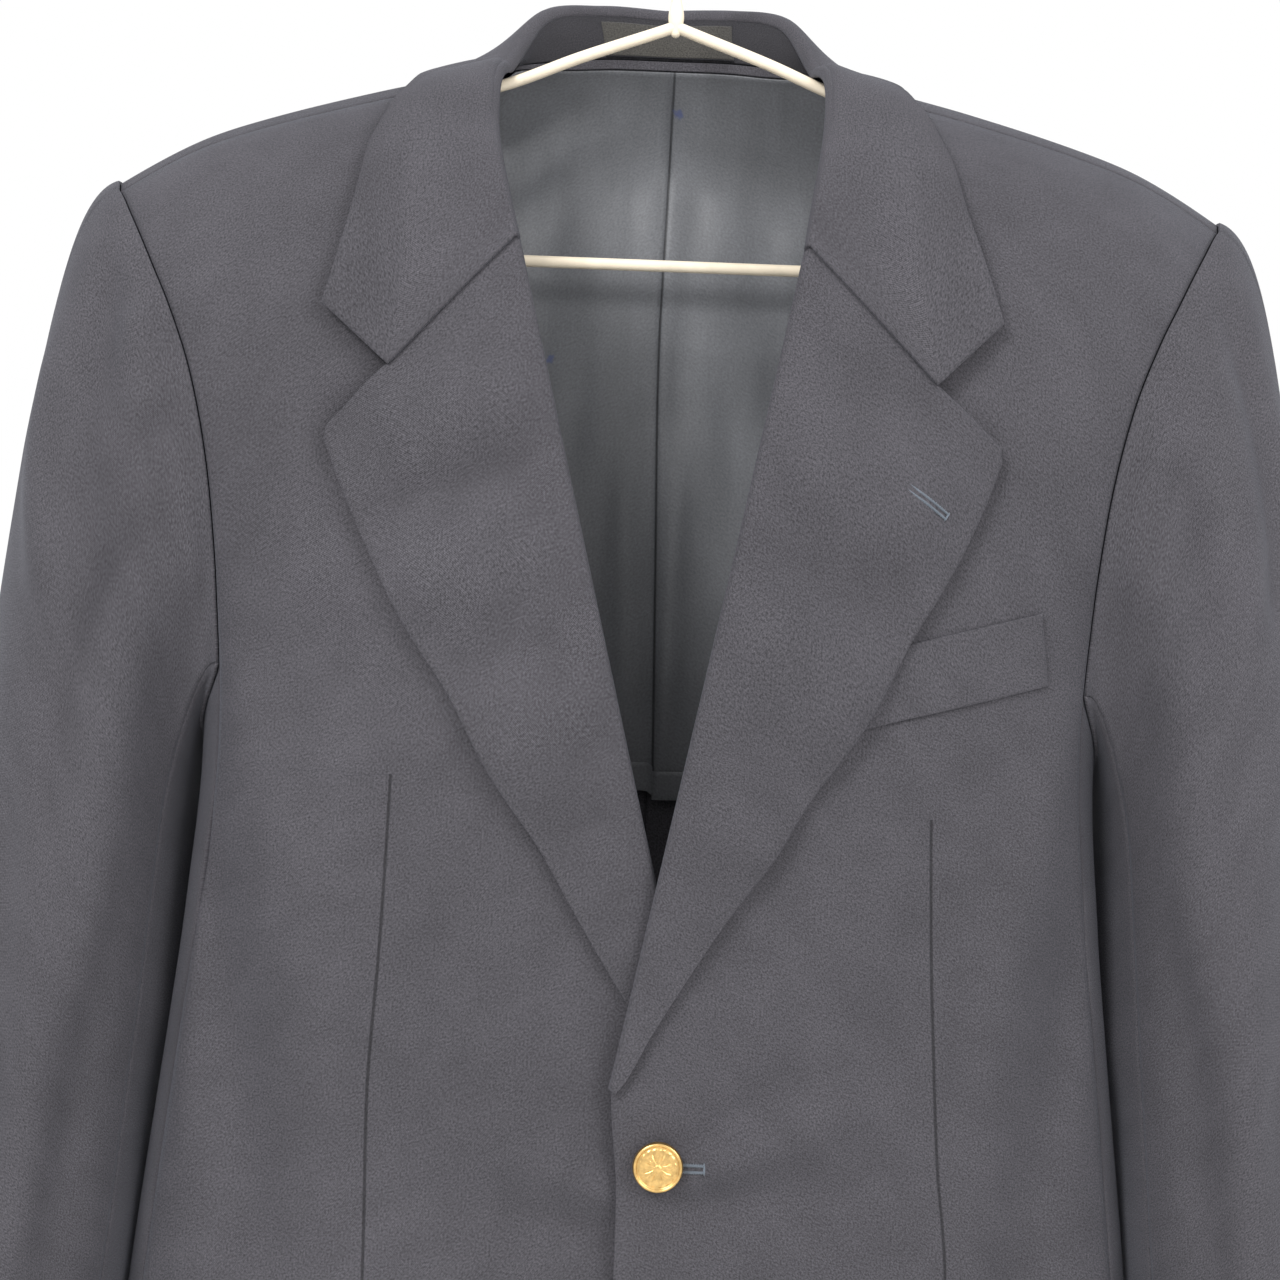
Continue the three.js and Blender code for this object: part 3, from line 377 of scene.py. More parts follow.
def mark_seam(made, off_of):
    """Stores at each vertex its distance from a seam's line; off_of takes across and height."""
    places = np.zeros(3 * len(made.data.vertices))
    made.data.vertices.foreach_get("co", places)
    places = places.reshape(-1, 3) / MM
    attribute = made.data.attributes.new("seam_off", "FLOAT", "POINT")
    off = SEAM_ZERO + off_of(places[:, 0], places[:, 2]) * MM
    attribute.data.foreach_set("value", off.astype(np.float32))


def stations(points):
    """Shares of length along an edge."""
    steps = np.linalg.norm(np.diff(points, axis=0), axis=1)
    length = np.r_[0.0, np.cumsum(steps)]
    return length / length[-1]


def fill_between(inner, outer, top, bottom):
    """A patch filled in between four edges: the sum of the two rulings less the corners'."""
    u = stations(bottom)[None, :, None]
    v = stations(outer)[:, None, None]
    corners = mix(mix(top[0], top[-1], u), mix(bottom[0], bottom[-1], u), v)
    return mix(inner[:, None], outer[:, None], u) + mix(top[None], bottom[None], v) - corners


def on_surface(surface, places, lift=0.0):
    """Points of a surface at places, moved out along its normal, and those normals."""
    u, v = places[..., 0], places[..., 1]
    normals = normal_of(surface, u, v)
    return surface(u, v) + normals * np.asarray(lift)[..., None], normals


print("wall builder ready, rim turns:", RIM_TURNS)

# %% [markdown]
# ## Materials
#
# The cloth is a fine worsted twill, dark blue grey with a little lint. The lining is a smooth
# viscose that takes a soft shine. The patch is a plain woven tape, the hanger a tube with a
# cream coating, the buttons gilt metal. Colours and weave are procedural: lines of thread in
# the cut's own coordinates, and noise for slub, wear and lint.

# %% Node helpers
NOISE_LOW, NOISE_HIGH = 0.3, 0.7  # where most of a noise lies


def new_material(name, base, roughness, **sockets):
    """A material with its shader's own sockets set: name as the socket, underscores as spaces."""
    material = bpy.data.materials.new(name)
    material.use_nodes = True
    shader = material.node_tree.nodes["Principled BSDF"]
    shader.inputs["Base Color"].default_value = (*base, 1.0)
    shader.inputs["Roughness"].default_value = roughness
    for socket, value in sockets.items():
        shader.inputs[socket.replace("_", " ")].default_value = value
    return material


def node(material, kind, inputs=(), **settings):
    """Adds a node, sets its properties and links or fills its inputs in order or by name."""
    made = material.node_tree.nodes.new(kind)
    for key, value in settings.items():
        setattr(made, key, value)
    pairs = inputs.items() if isinstance(inputs, dict) else enumerate(inputs)
    for key, value in pairs:
        if isinstance(value, bpy.types.NodeSocket):
            material.node_tree.links.new(value, made.inputs[key])
        elif value is not None:
            made.inputs[key].default_value = value
    return made


def math(material, operation, *values):
    """One arithmetic step on sockets or numbers."""
    return node(material, "ShaderNodeMath", values, operation=operation).outputs[0]


def noise(material, vector, scale, detail=2.0, roughness=0.5):
    """Soft noise over a vector, from 0 to 1."""
    return node(material, "ShaderNodeTexNoise",
                {"Vector": vector, "Scale": scale, "Detail": detail,
                 "Roughness": roughness}).outputs["Fac"]


def band(material, value, low, high, start=0.0, end=1.0):
    """Maps value from low..high onto start..end and holds it there."""
    return node(material, "ShaderNodeMapRange", [value, low, high, start, end]).outputs[0]


def vary(material, tone, value, start, end):
    """The tone times start where a noise is low and times end where it is high."""
    return math(material, "MULTIPLY", tone,
                band(material, value, NOISE_LOW, NOISE_HIGH, start, end))


def shade(material, base, factor):
    """The base colour times a factor socket, into the shader's colour."""
    scaled = node(material, "ShaderNodeVectorMath", {0: base, "Scale": factor},
                  operation="SCALE").outputs[0]
    material.node_tree.links.new(
        scaled, material.node_tree.nodes["Principled BSDF"].inputs["Base Color"])
    return scaled


def bump(material, height, distance, strength=1.0):
    """Relief from a height socket, distance in metres."""
    made = node(material, "ShaderNodeBump",
                {"Height": height, "Distance": distance, "Strength": strength})
    material.node_tree.links.new(
        made.outputs[0], material.node_tree.nodes["Principled BSDF"].inputs["Normal"])


def cut_place(material):
    """The cut's own coordinates, as a vector and as its two parts."""
    vector = node(material, "ShaderNodeUVMap", uv_map="cut").outputs[0]
    parts = node(material, "ShaderNodeSeparateXYZ", [vector]).outputs
    return vector, parts[0], parts[1]


def object_place(material):
    """Object coordinates as a vector."""
    return node(material, "ShaderNodeTexCoord").outputs["Object"]


print("node helpers ready")

# %% Cloth, lining, patch, hanger, metal and thread
CLOTH_COLOUR = (0.063, 0.060, 0.068)
LINING_COLOUR = (0.158, 0.163, 0.176)
PATCH_COLOUR = (0.050, 0.047, 0.042)
HANGER_COLOUR = (0.88, 0.77, 0.60)
BRASS_COLOUR = (0.84, 0.55, 0.21)
CHALK_COLOUR = (0.075, 0.095, 0.22)
CHALK_MARKS = [((4.5, -62.0), 3.0), ((-51.6, -163.0), 2.5)]  # (across, run), reach in mm
CHALK_RAGGED = 0.0012
LAPEL_THREAD_COLOUR = (0.14, 0.17, 0.21)
SHEEN_TINT = (0.75, 0.8, 0.95, 1.0)
TWILL_WAVES, LINING_WAVES, PLY_WAVES = (2 * np.pi / pitch for pitch in (0.00062, 0.00045, 0.0005))
WALE_WANDER = 0.00022
SEAM_HALF = 0.0008
# a seam's line is darkened to these shares, partly for its thread and partly as painted shade of
# its groove
SEAM_PAINTED_SHADE = {"worsted": 0.42, "lining": 0.35}

# noise: scale per metre, detail, roughness
WORSTED_NOISE = {"wander": (900.0, 1.0, 0.5), "fibre": (2600.0, 3.0, 0.7),
                 "grain": (1250.0, 2.0, 0.7), "slub": (46.0, 4.0, 0.65), "lint": (620.0, 2.0, 0.8)}
LINING_NOISE = {"cloud": (22.0, 3.0, 0.5), "grain": (900.0, 2.0, 0.6), "ripple": (60.0, 3.0, 0.55)}


def seam_line(material):
    """1 on a marked seam, 0 beside it."""
    off = node(material, "ShaderNodeAttribute", attribute_name="seam_off").outputs["Fac"]
    off = math(material, "ABSOLUTE", math(material, "SUBTRACT", off, SEAM_ZERO))
    return band(material, off, SEAM_HALF * 0.35, SEAM_HALF, 1.0, 0.0)


def chalk(material, vector, base, spots):
    """The base colour socket with soft blue chalk marks at places given in the cut."""
    for (across, down), reach in spots:
        gap = node(material, "ShaderNodeVectorMath", [vector, (across * MM, down * MM, 0.0)],
                   operation="DISTANCE").outputs["Value"]
        fray = band(material, noise(material, vector, 420.0), NOISE_LOW, NOISE_HIGH,
                    -CHALK_RAGGED, CHALK_RAGGED)
        ragged = math(material, "ADD", gap, fray)
        share = band(material, ragged, reach * MM * 0.4, reach * MM, 0.75, 0.0)
        base = node(material, "ShaderNodeMix", {"Factor": share, 6: base, 7: (*CHALK_COLOUR, 1.0)},
                    data_type="RGBA").outputs[2]
    material.node_tree.links.new(
        base, material.node_tree.nodes["Principled BSDF"].inputs["Base Color"])


def worsted(name, colour, soft=0.10):
    """Twill cloth: diagonal wales over crossed yarns, slub, wear, lint and a dart's seam line,
    darkened along it for its thread and, as painted shade, for its groove.
    """
    material = new_material(name, colour, 0.82, Specular_IOR_Level=0.22, Sheen_Weight=0.12,
                            Sheen_Roughness=0.45)
    material.node_tree.nodes["Principled BSDF"].inputs["Sheen Tint"].default_value = SHEEN_TINT
    vector, across, down = cut_place(material)
    part = {name: noise(material, vector, *values) for name, values in WORSTED_NOISE.items()}
    diagonal = math(material, "ADD", math(material, "ADD", across, down),
                    math(material, "MULTIPLY", part["wander"], WALE_WANDER))
    wale = math(material, "SINE", math(material, "MULTIPLY", diagonal, TWILL_WAVES))
    wear = noise(material, object_place(material), 9.0, 3.0, 0.55)
    tone = math(material, "ADD", 1.0, math(material, "MULTIPLY", wale, 0.20))
    for value, low, high in ((part["fibre"], 0.72, 1.28), (part["grain"], 0.46, 1.54),
                             (part["slub"], 1 - soft, 1 + soft), (wear, 0.93, 1.07)):
        tone = vary(material, tone, value, low, high)
    tone = math(material, "ADD", tone, band(material, part["lint"], 0.72, 0.80, 0.0, 0.5))
    # the marked seam's line is darkened, for its thread and, as painted shade, for its groove
    seam = seam_line(material)
    tone = math(material, "MULTIPLY", tone,
                band(material, seam, 0.0, 1.0, 1.0, SEAM_PAINTED_SHADE["worsted"]))
    shade(material, colour, tone)
    height = math(material, "ADD", math(material, "MULTIPLY", wale, 0.35), part["fibre"])
    height = math(material, "SUBTRACT", height, math(material, "MULTIPLY", seam, 4.0))
    bump(material, height, 0.00012, 0.9)
    return material


def smooth_lining(name, colour):
    """Plain-woven viscose: two fine thread directions, faint slubs and a soft shine."""
    material = new_material(name, colour, 0.42, Specular_IOR_Level=0.45, Sheen_Weight=0.1)
    vector, across, down = cut_place(material)
    part = {name: noise(material, vector, *values) for name, values in LINING_NOISE.items()}
    warp = math(material, "SINE", math(material, "MULTIPLY", across, LINING_WAVES))
    weft = math(material, "SINE", math(material, "MULTIPLY", down, LINING_WAVES))
    streak = node(material, "ShaderNodeMapping",
                  {"Vector": vector, "Scale": (90.0, 14.0, 1.0)}).outputs[0]
    slub = noise(material, streak, 1.0, 4.0, 0.6)
    threads = math(material, "ADD", warp, weft)
    tone = math(material, "ADD", 1.0, math(material, "MULTIPLY", threads, 0.03))
    for value, low, high in ((slub, 0.93, 1.07), (part["grain"], 0.80, 1.20),
                             (part["cloud"], 0.92, 1.08)):
        tone = vary(material, tone, value, low, high)
    # the centre seam's line is darkened, for its thread and, as painted shade, for its groove
    tone = math(material, "MULTIPLY", tone,
                band(material, seam_line(material), 0.0, 1.0, 1.0, SEAM_PAINTED_SHADE["lining"]))
    chalk(material, vector, shade(material, colour, tone), CHALK_MARKS)
    height = math(material, "ADD", math(material, "MULTIPLY", warp, 0.02), part["ripple"])
    bump(material, height, 0.0006, 0.7)
    return material


def coating(name, colour):
    """Sprayed cream coating: faint orange peel and a few dull marks."""
    material = new_material(name, colour, 0.38, Coat_Weight=0.25, Coat_Roughness=0.3)
    place = object_place(material)
    marks = noise(material, place, 130.0, 3.0, 0.6)
    shade(material, colour, band(material, marks, NOISE_LOW, NOISE_HIGH, 0.93, 1.05))
    bump(material, noise(material, place, 900.0, 2.0), 0.00006, 0.6)
    return material


def gilt(name, colour):
    """Cast gilt metal with tarnish that varies at random over it."""
    material = new_material(name, colour, 0.30, Metallic=1.0)
    place = object_place(material)
    tarnish = noise(material, place, 420.0, 3.0, 0.6)
    shade(material, colour, band(material, tarnish, 0.35, 0.65, 0.72, 1.05))
    bump(material, noise(material, place, 1500.0, 2.0), 0.00005, 0.5)
    return material


def thread_material(name, colour):
    """Twisted thread: slanting plies along its length with loose fibres."""
    material = new_material(name, colour, 0.75, Sheen_Weight=0.25)
    _, across, down = cut_place(material)
    ply = math(material, "SINE", math(material, "MULTIPLY",
                                      math(material, "ADD", across, down), PLY_WAVES))
    fuzz = noise(material, object_place(material), 3200.0, 2.0)
    tone = math(material, "ADD", math(material, "MULTIPLY", ply, 0.15),
                band(material, fuzz, NOISE_LOW, NOISE_HIGH, 0.75, 1.2))
    shade(material, colour, tone)
    bump(material, math(material, "ADD", ply, fuzz), 0.00008, 0.8)
    return material


def toned(colour, factor):
    """A colour made lighter or darker."""
    return tuple(factor * c for c in colour)


cloth_material = worsted("worsted_cloth", CLOTH_COLOUR)
inside_material = worsted("worsted_inside", toned(CLOTH_COLOUR, 1.25))
# the stand is the jacket's own cloth, darkened to 0.40 as painted shade inside the neck
shaded_stand_material = worsted("collar_stand_painted_shade", toned(CLOTH_COLOUR, 0.40))
# piping along the patch's lower edge, coloured near black as painted shadow of the gap under the
# patch
shadow_piping_material = worsted("patch_shadow_piping", toned(CLOTH_COLOUR, 0.25))
patch_material = worsted("patch_tape", PATCH_COLOUR, 0.05)
lining_material = smooth_lining("lining_viscose", LINING_COLOUR)
hanger_material = coating("hanger_coating", HANGER_COLOUR)
gilt_material = gilt("gilt_metal", BRASS_COLOUR)
cloth_thread = thread_material("cloth_thread", toned(CLOTH_COLOUR, 0.8))
lapel_thread = thread_material("lapel_thread", LAPEL_THREAD_COLOUR)
lining_thread = thread_material("lining_thread", toned(LINING_COLOUR, 0.6))
print("materials:", len(bpy.data.materials))

# %% [markdown]
# ## Soft creases
#
# Hanging cloth is never flat: drag lines leave the points that carry it, and it gives a little
# beside each seam. Each crease is one row of a table: where it starts and ends, how wide and
# how high it is. Simulated cloth would be looser than this pressed worsted, so the creases are
# listed one by one and kept shallow, unequal in length and spacing.

# %% Creases
CREASE_WIDENS = 0.6
CREASE_FULL, CREASE_FADE = 0.28, 0.045 ** 0.5  # in shares of a crease's length, from its middle


def creases(u, v, table, mirror=1.0):
    """Sum of soft ridges (rise over 0) and troughs: a bell across each line, faded at its ends."""
    total = np.zeros(np.broadcast(u, v).shape)
    for u0, v0, u1, v1, width, rise in table:
        way = np.array([u1 - u0, v1 - v0])
        length = np.hypot(*way)
        du, dv = u * mirror - u0, v - v0
        along = (du * way[0] + dv * way[1]) / length**2
        off = (du * way[1] - dv * way[0]) / length
        spread = width * (1 + CREASE_WIDENS * np.clip(along, 0, 1))
        past = np.clip(np.abs(along - 0.5) - CREASE_FULL, 0, None)
        fade = np.exp(-(past / CREASE_FADE) ** 2)
        total += rise * fade * np.exp(-(off / spread) ** 2)
    return total


# across, height at the start; across, height at the end; width; rise (left front, mm)
FRONT_CREASES = {
    LEFT: [
        (12, -552, 88, -520, 7, 1.6), (16, -560, 104, -549, 8, -1.7),
        (18, -540, 70, -500, 6, -1.2), (178, -350, 128, -520, 14, 2.2),
        (186, -420, 150, -640, 12, -2.6), (196, -360, 176, -560, 10, 2.0),
        (60, -600, 92, -760, 18, 2.2), (120, -640, 132, -800, 20, -2.0),
        (160, -300, 120, -250, 12, -1.0), (150, -420, 138, -560, 13, 1.4),
        (96, -470, 104, -600, 10, -1.2), (30, -620, 44, -740, 14, -1.4),
        (106, -345, 14, -494, 8, -1.2), (30, -496, 96, -440, 14, 0.9),
    ],
    RIGHT: [
        (4, -560, -66, -536, 7, 1.4), (0, -574, -84, -562, 8, -1.5),
        (-176, -340, -124, -500, 14, 2.0), (-186, -400, -146, -620, 12, -2.8),
        (-198, -370, -178, -580, 10, 2.2), (-58, -620, -84, -780, 18, 2.0),
        (-118, -600, -132, -790, 20, -2.2), (-140, -380, -128, -540, 13, 1.6),
        (-88, -450, -98, -580, 10, -1.4), (-152, -290, -116, -246, 12, -1.0),
        (-98, -352, -16, -492, 7, -0.7),
    ],
}
DARTS = {
    LEFT: {"height": [-399, -470, -540, -584, -652], "across": [113, 116, 121, 126, 126]},
    RIGHT: {"height": [-391, -460, -520, -593, -652], "across": [-102, -104, -107, -106, -106]},
}
DART_WIDTH, DART_DEPTH = 8.0, 1.3
DART_OPENS, DART_CLOSES = 18, (-664, -654)
FRONT_CREASE_DEPTH, LAPEL_CREASE_DEPTH = 2.2, 2.8
FAR_OFF = 50.0
SEAM_FREE = (0.02, 0.12)  # creases fade out this near a side seam, in shares of the half width
BACK_CREASES = [
    (40, -120, 12, -300, 20, 1.6), (110, -130, 84, -300, 18, -1.5),
    (190, -200, 128, -330, 14, 2.0), (176, -330, 120, -480, 14, -2.0),
    (60, -420, 74, -640, 18, 1.7), (110, -500, 124, -780, 22, 2.4),
    (30, -560, 26, -800, 16, -1.8), (160, -560, 172, -800, 16, -2.2),
    (150, -400, 150, -520, 11, 1.4),
]


def dart_off(side, across, height):
    """Signed distance from the dart's line, and how far the dart has opened at a height."""
    line = curve_of(DARTS[side], "height", "across")(height)
    top = DARTS[side]["height"][0]
    return across - line, ramp(height, top, top - DART_OPENS) * ramp(height, *DART_CLOSES)


def dart_mark(side, across, height):
    """The dart's distance where it is open, and far off elsewhere."""
    off, open_share = dart_off(side, across, height)
    return np.where(open_share > 0.02, off, FAR_OFF)


def dart_valley(side, across, height):
    """A shallow valley along the dart: the cloth is drawn in beside its seam."""
    off, open_share = dart_off(side, across, height)
    return -DART_DEPTH * np.exp(-(off / DART_WIDTH) ** 2) * open_share


def draped_front(side):
    """One front with its creases and dart: the panel and all that lies on it share this."""
    plain = front_of(side)

    def surface(across, run):
        point = plain(across, run)
        height = point[..., 2]
        lift = FRONT_CREASE_DEPTH * creases(across, height, FRONT_CREASES[side])
        lift = lift + dart_valley(side, across, height)
        lift = lift * ramp(1 - np.abs(across) / half_width(height), *SEAM_FREE)
        return point + lift[..., None] * np.array([0.0, -1.0, 0.0])

    return surface


def draped_back(across, run):
    """The back with its creases, flat at the neck and at the centre seam."""
    point = body_point(across, run)
    height = point[..., 2]
    lift = creases(np.abs(across), height, BACK_CREASES)
    keep = ramp(1 - np.abs(across) / half_width(height), *SEAM_FREE) * ramp(height, -112, -150)
    return point + (lift * keep)[..., None] * np.array([0.0, 1.0, 0.0])


print("creases on the left front:", len(FRONT_CREASES[LEFT]))

# %% [markdown]
# ## Shared seams
#
# A front runs from the shoulder seam to the hem, between the armhole and side seam outside
# and the neck, roll line and cutaway edge inside. Front, side, back and sleeve read the same
# armhole lines, so every seam closes.

# %% Seam lines
SIDE_SEAM_TURN, BACK_SEAM_TURN = 68.0, 120.0
SIDE_TOP, SIDE_HEM, BACK_HEM = -352.0, -837.0, -828.0
ARMHOLE_SCOOP = 34.0
SHOULDER_DROP = 8.0
ARMHOLE_TOP_OUT = 232.0
ROLL_TOP, BREAK = -176.0, -514.0

FRONT_ARMHOLE = [(224, -167), (213, -187), (203, -207), (193, -233), (185.5, -266),
                 (181.5, -300), (179.5, -330)]
BACK_ARMHOLE = [(229, -164), (219, -188), (209, -218), (198, -255), (186, -295), (174, -330)]
BACK_NECK = [(0, 12), (30, 7.5), (58, 4), (76, 1)]
NECK_POINT = (80, -102)
NECK_EDGE = [(78, -125), (71, -150)]
FRONT_EDGE = [(-18.5, -530), (-16.2, -552), (-15.8, -600), (-15.2, -650), (-10, -692),
              (6, -738), (32, -782)]
FRONT_HEM = [(62, -815), (96, -838), (135, -845)]
ROLL = {LEFT: (57.0, -9.6), RIGHT: (-62.0, 24.0)}  # across at the roll's top and at the break

FRONT_COLUMNS, FRONT_ROWS = 78, 210
SHOULDER_ROWS, SIDE_ROWS = 60, 150
BACK_COLUMNS, NECK_COLUMNS = 76, 12
SIDE_COLUMNS = 36


def even(count):
    """Shares from 0 to 1 in count steps."""
    return np.linspace(0.0, 1.0, count + 1)


def side_out(height, turn):
    """Half width of the body where a side seam lies, by its turn in degrees."""
    return half_width(height) * np.sin(np.radians(turn))


def shoulder_place(side, out):
    """A place on the shoulder seam, just in front of the ridge."""
    out = np.asarray(out, float)
    return place_of(np.stack([side * out, ridge_height(out) - SHOULDER_DROP], axis=-1))


def side_rows(side, turn, is_front):
    """Places down a side seam, from the armhole to the hem."""
    height = mix(SIDE_TOP, SIDE_HEM, even(SIDE_ROWS))
    across = side * side_out(height, turn)
    return np.stack([across, run_at(across, height, is_front)], axis=-1)


def front_armhole(side):
    """Places round the front of the armhole, from the shoulder seam to the side seam."""
    table = place_of([(side * out, height) for out, height in FRONT_ARMHOLE])
    ends = shoulder_place(side, ARMHOLE_TOP_OUT), side_rows(side, SIDE_SEAM_TURN, True)[0]
    return spaced(np.vstack([ends[0], table, ends[1]]), even(SHOULDER_ROWS))


def back_armhole(side):
    """Places round the back of the armhole, from the shoulder seam over the ridge and down."""
    table = place_of([(side * out, height) for out, height in BACK_ARMHOLE], False)
    start = shoulder_place(side, ARMHOLE_TOP_OUT)
    top = [side * (ARMHOLE_TOP_OUT + 3), 0.0]
    end = side_rows(side, BACK_SEAM_TURN, False)[0]
    return spaced(np.vstack([start, top, table, end]), even(SHOULDER_ROWS))


def roll_across(side, height):
    """Where the lapel's roll line lies at a height: a straight line to the break."""
    top, low = ROLL[side]
    return mix(top, low, (height - ROLL_TOP) / (BREAK - ROLL_TOP))


def past_centre(side, points):
    """Points given by their distance past the centre front line, as (across, height)."""
    return [(CENTRE_FRONT + side * past, height) for past, height in points]


def front_places(side):
    """Grid of places on one front."""
    outer = np.vstack([front_armhole(side), side_rows(side, SIDE_SEAM_TURN, True)[1:]])
    heights = mix(ROLL_TOP, BREAK, even(9))
    inner = [(side * NECK_POINT[0], NECK_POINT[1])]
    inner += [(side * out, height) for out, height in NECK_EDGE]
    inner += [(float(roll_across(side, h)), float(h)) for h in heights]
    inner += past_centre(side, FRONT_EDGE)
    inner = place_of(spaced(inner, even(FRONT_ROWS)))
    outs = mix(NECK_POINT[0], ARMHOLE_TOP_OUT, even(FRONT_COLUMNS))
    top = shoulder_place(side, outs)
    hem = [*past_centre(side, FRONT_EDGE[-1:]), *past_centre(side, FRONT_HEM)]
    hem += [(side * float(side_out(SIDE_HEM, SIDE_SEAM_TURN)), SIDE_HEM)]
    hem = place_of(spaced(hem, even(FRONT_COLUMNS)))
    inner[0], outer[0], inner[-1], outer[-1] = top[0], top[-1], hem[0], hem[-1]
    return fill_between(inner, outer, top, hem)


def side_top():
    """Top edge of the side panel under the arm, as turn and height."""
    share = even(SIDE_COLUMNS)
    scoop = ARMHOLE_SCOOP * np.sin(np.pi * share) ** 0.8
    return np.stack([mix(SIDE_SEAM_TURN, BACK_SEAM_TURN, share), SIDE_TOP - scoop], axis=-1)


print("seams ready; break at", BREAK, "mm")

# %% [markdown]
# ## Fronts
#
# Each front is one cut of cloth with a waist dart. The left front laps over the right one,
# which lies a few millimetres behind it at the centre. The front edge runs straight from the
# break to the lower button and then curves away to the hem.

# %% Build the fronts
front_surfaces = {side: draped_front(side) for side in (LEFT, RIGHT)}
for side in (LEFT, RIGHT):
    places = front_places(side)
    grid, normals = on_surface(front_surfaces[side], places)
    made = cloth_wall(f"cloth_front_{SIDE_NAMES[side]}", grid, CLOTH_WALL, cloth_material, normals,
                      places * (1.0, -1.0))
    mark_seam(made, lambda across, height, side=side: dart_mark(side, across, height))
print("front rows and columns:", FRONT_ROWS, FRONT_COLUMNS)

# %% [markdown]
# ## Back and sides
#
# The back is two halves joined down the centre, and goes over the ridge to meet the front at
# the shoulder seam. A narrow side panel lies under each arm. Its fold tucks in there, where
# the sleeve presses on the body.

# %% Build the back
def back_places(side):
    """Grid of places on one half of the back."""
    outer = np.vstack([back_armhole(side), side_rows(side, BACK_SEAM_TURN, False)[1:]])
    neck = [(side * out, float(ridge_height(out)) - drop) for out, drop in BACK_NECK]
    neck = spaced(place_of(neck, False), even(NECK_COLUMNS))
    shoulder = shoulder_place(side, mix(NECK_POINT[0], ARMHOLE_TOP_OUT, even(24)))
    top = spaced(np.vstack([neck, shoulder]), even(BACK_COLUMNS))
    outer[0] = top[-1]
    hem_share = even(BACK_COLUMNS)
    across = side * hem_share * side_out(SIDE_HEM, BACK_SEAM_TURN)
    hem_height = mix(BACK_HEM, SIDE_HEM, hem_share**2)
    hem = np.stack([across, run_at(across, hem_height, False)], axis=-1)
    hem[-1] = outer[-1]
    inner = np.stack([np.full(len(outer), -0.08 * side),
                      mix(top[0, 1], hem[0, 1], even(len(outer) - 1))], -1)
    return fill_between(inner, outer, top, hem)


for side in (LEFT, RIGHT):
    places = back_places(side)
    grid, normals = on_surface(draped_back, places)
    cloth_wall(f"cloth_back_{SIDE_NAMES[side]}", grid, CLOTH_WALL, cloth_material, normals, places)

# %% Build the side panels
SIDE_FOLD = {"height": [-352, -400, -480, -640, -860], "depth": [0, 4, 9, 10, 9]}
side_fold = curve_of(SIDE_FOLD, "height", "depth")
FOLD_TURN, FOLD_SPREAD = 94.0, 24.0


def side_of(side):
    """The body under one arm, by its turn round the body and its height, with its fold."""
    def surface(turn, height):
        share = np.sin(np.radians(turn))
        fold = np.cos(np.clip((turn - FOLD_TURN) / FOLD_SPREAD, -1, 1) * np.pi / 2) ** 2
        reach = np.where(turn < 90, -FRONT_DEPTH * front_fullness(height),
                         BACK_DEPTH * back_fullness(height))
        across = side * (half_width(height) * share - side_fold(height) * fold)
        return np.stack([across, reach * oblong(share), height + 0 * turn], axis=-1)
    return surface


for side in (LEFT, RIGHT):
    top = side_top()
    share = even(SIDE_ROWS)
    height = mix(SIDE_TOP, SIDE_HEM, share)[:, None]
    places = np.stack([top[None, :, 0] + 0 * height,
                       height + (top[None, :, 1] - SIDE_TOP) * (1 - share[:, None]) ** 2], -1)
    grid, normals = on_surface(side_of(side), places)
    cloth_wall(f"cloth_side_{SIDE_NAMES[side]}", grid, CLOTH_WALL, cloth_material, -side * normals,
               np.stack([places[..., 0] * 3.0, places[..., 1]], axis=-1))
print("body pieces:", len(pieces))

# %% [markdown]
# ## Lapels
#
# A lapel is the front turned back on itself along the roll line, with its facing outward. It
# is built from the front's own surface moved out, higher in the middle where the canvas
# springs it. Its inner columns go round the roll and meet the front's edge from inside, so
# the fold is soft and the lapel isn't a flat card.

# %% Lapel tables
LAPEL_EDGES = {
    LEFT: {"notch": (109, -231), "tip": (138, -256),
           "edge": [(120, -299), (93, -349), (68, -391), (28, -452), (7, -488), (-3.2, -508),
                    (-8.2, -515)]},
    RIGHT: {"notch": (-109.5, -231), "tip": (-136, -257),
            "edge": [(-114, -305), (-81, -360), (-40, -424), (-4, -481), (17, -505),
                     (22.6, -514.5)]},
}
LAPEL_LIFT = {"along": [0, 0.15, 0.45, 0.8, 1], "lift": [4.4, 6.4, 7.4, 6.2, 5.2]}
lapel_lift = curve_of(LAPEL_LIFT, "along", "lift")
ROLL_RADIUS = 2.6
ROLL_COLUMNS, LAPEL_COLUMNS, LAPEL_ROWS = 8, 46, 150
NOTCH_SHARE, NOTCH_COLUMN = 0.62, 0.66
BREAK_FLATNESS = 0.62
TIP_ROUND, TIP_REACH = 2.2, 2.6
ROLL_TURN, ROLL_NARROWS = 150, 0.3

LAPEL_CREASES = {
    LEFT: [
        (48, -262, 112, -288, 15, 1.6), (40, -300, 100, -330, 12, -1.3),
        (36, -330, 84, -362, 12, 1.3), (30, -372, 66, -398, 11, -1.0), (22, -400, 48, -424, 9, 0.9),
    ],
    RIGHT: [
        (-56, -240, -112, -262, 14, 1.7), (-50, -268, -112, -290, 12, -1.5),
        (-44, -300, -98, -326, 12, 1.6), (-34, -336, -82, -358, 11, -1.2),
        (-22, -366, -60, -392, 12, 1.2), (-12, -404, -38, -424, 9, -0.8),
    ],
}


def lapel_surface(side):
    """The draped front with the lapel's own soft waves; a place is across and run."""
    def surface(across, run):
        point = front_surfaces[side](across, run)
        lift = LAPEL_CREASE_DEPTH * creases(across, point[..., 2], LAPEL_CREASES[side])
        keep = ramp(point[..., 2], BREAK + 30, BREAK + 110)
        return point + (lift * keep)[..., None] * np.array([0.0, -1.0, 0.0])
    return surface


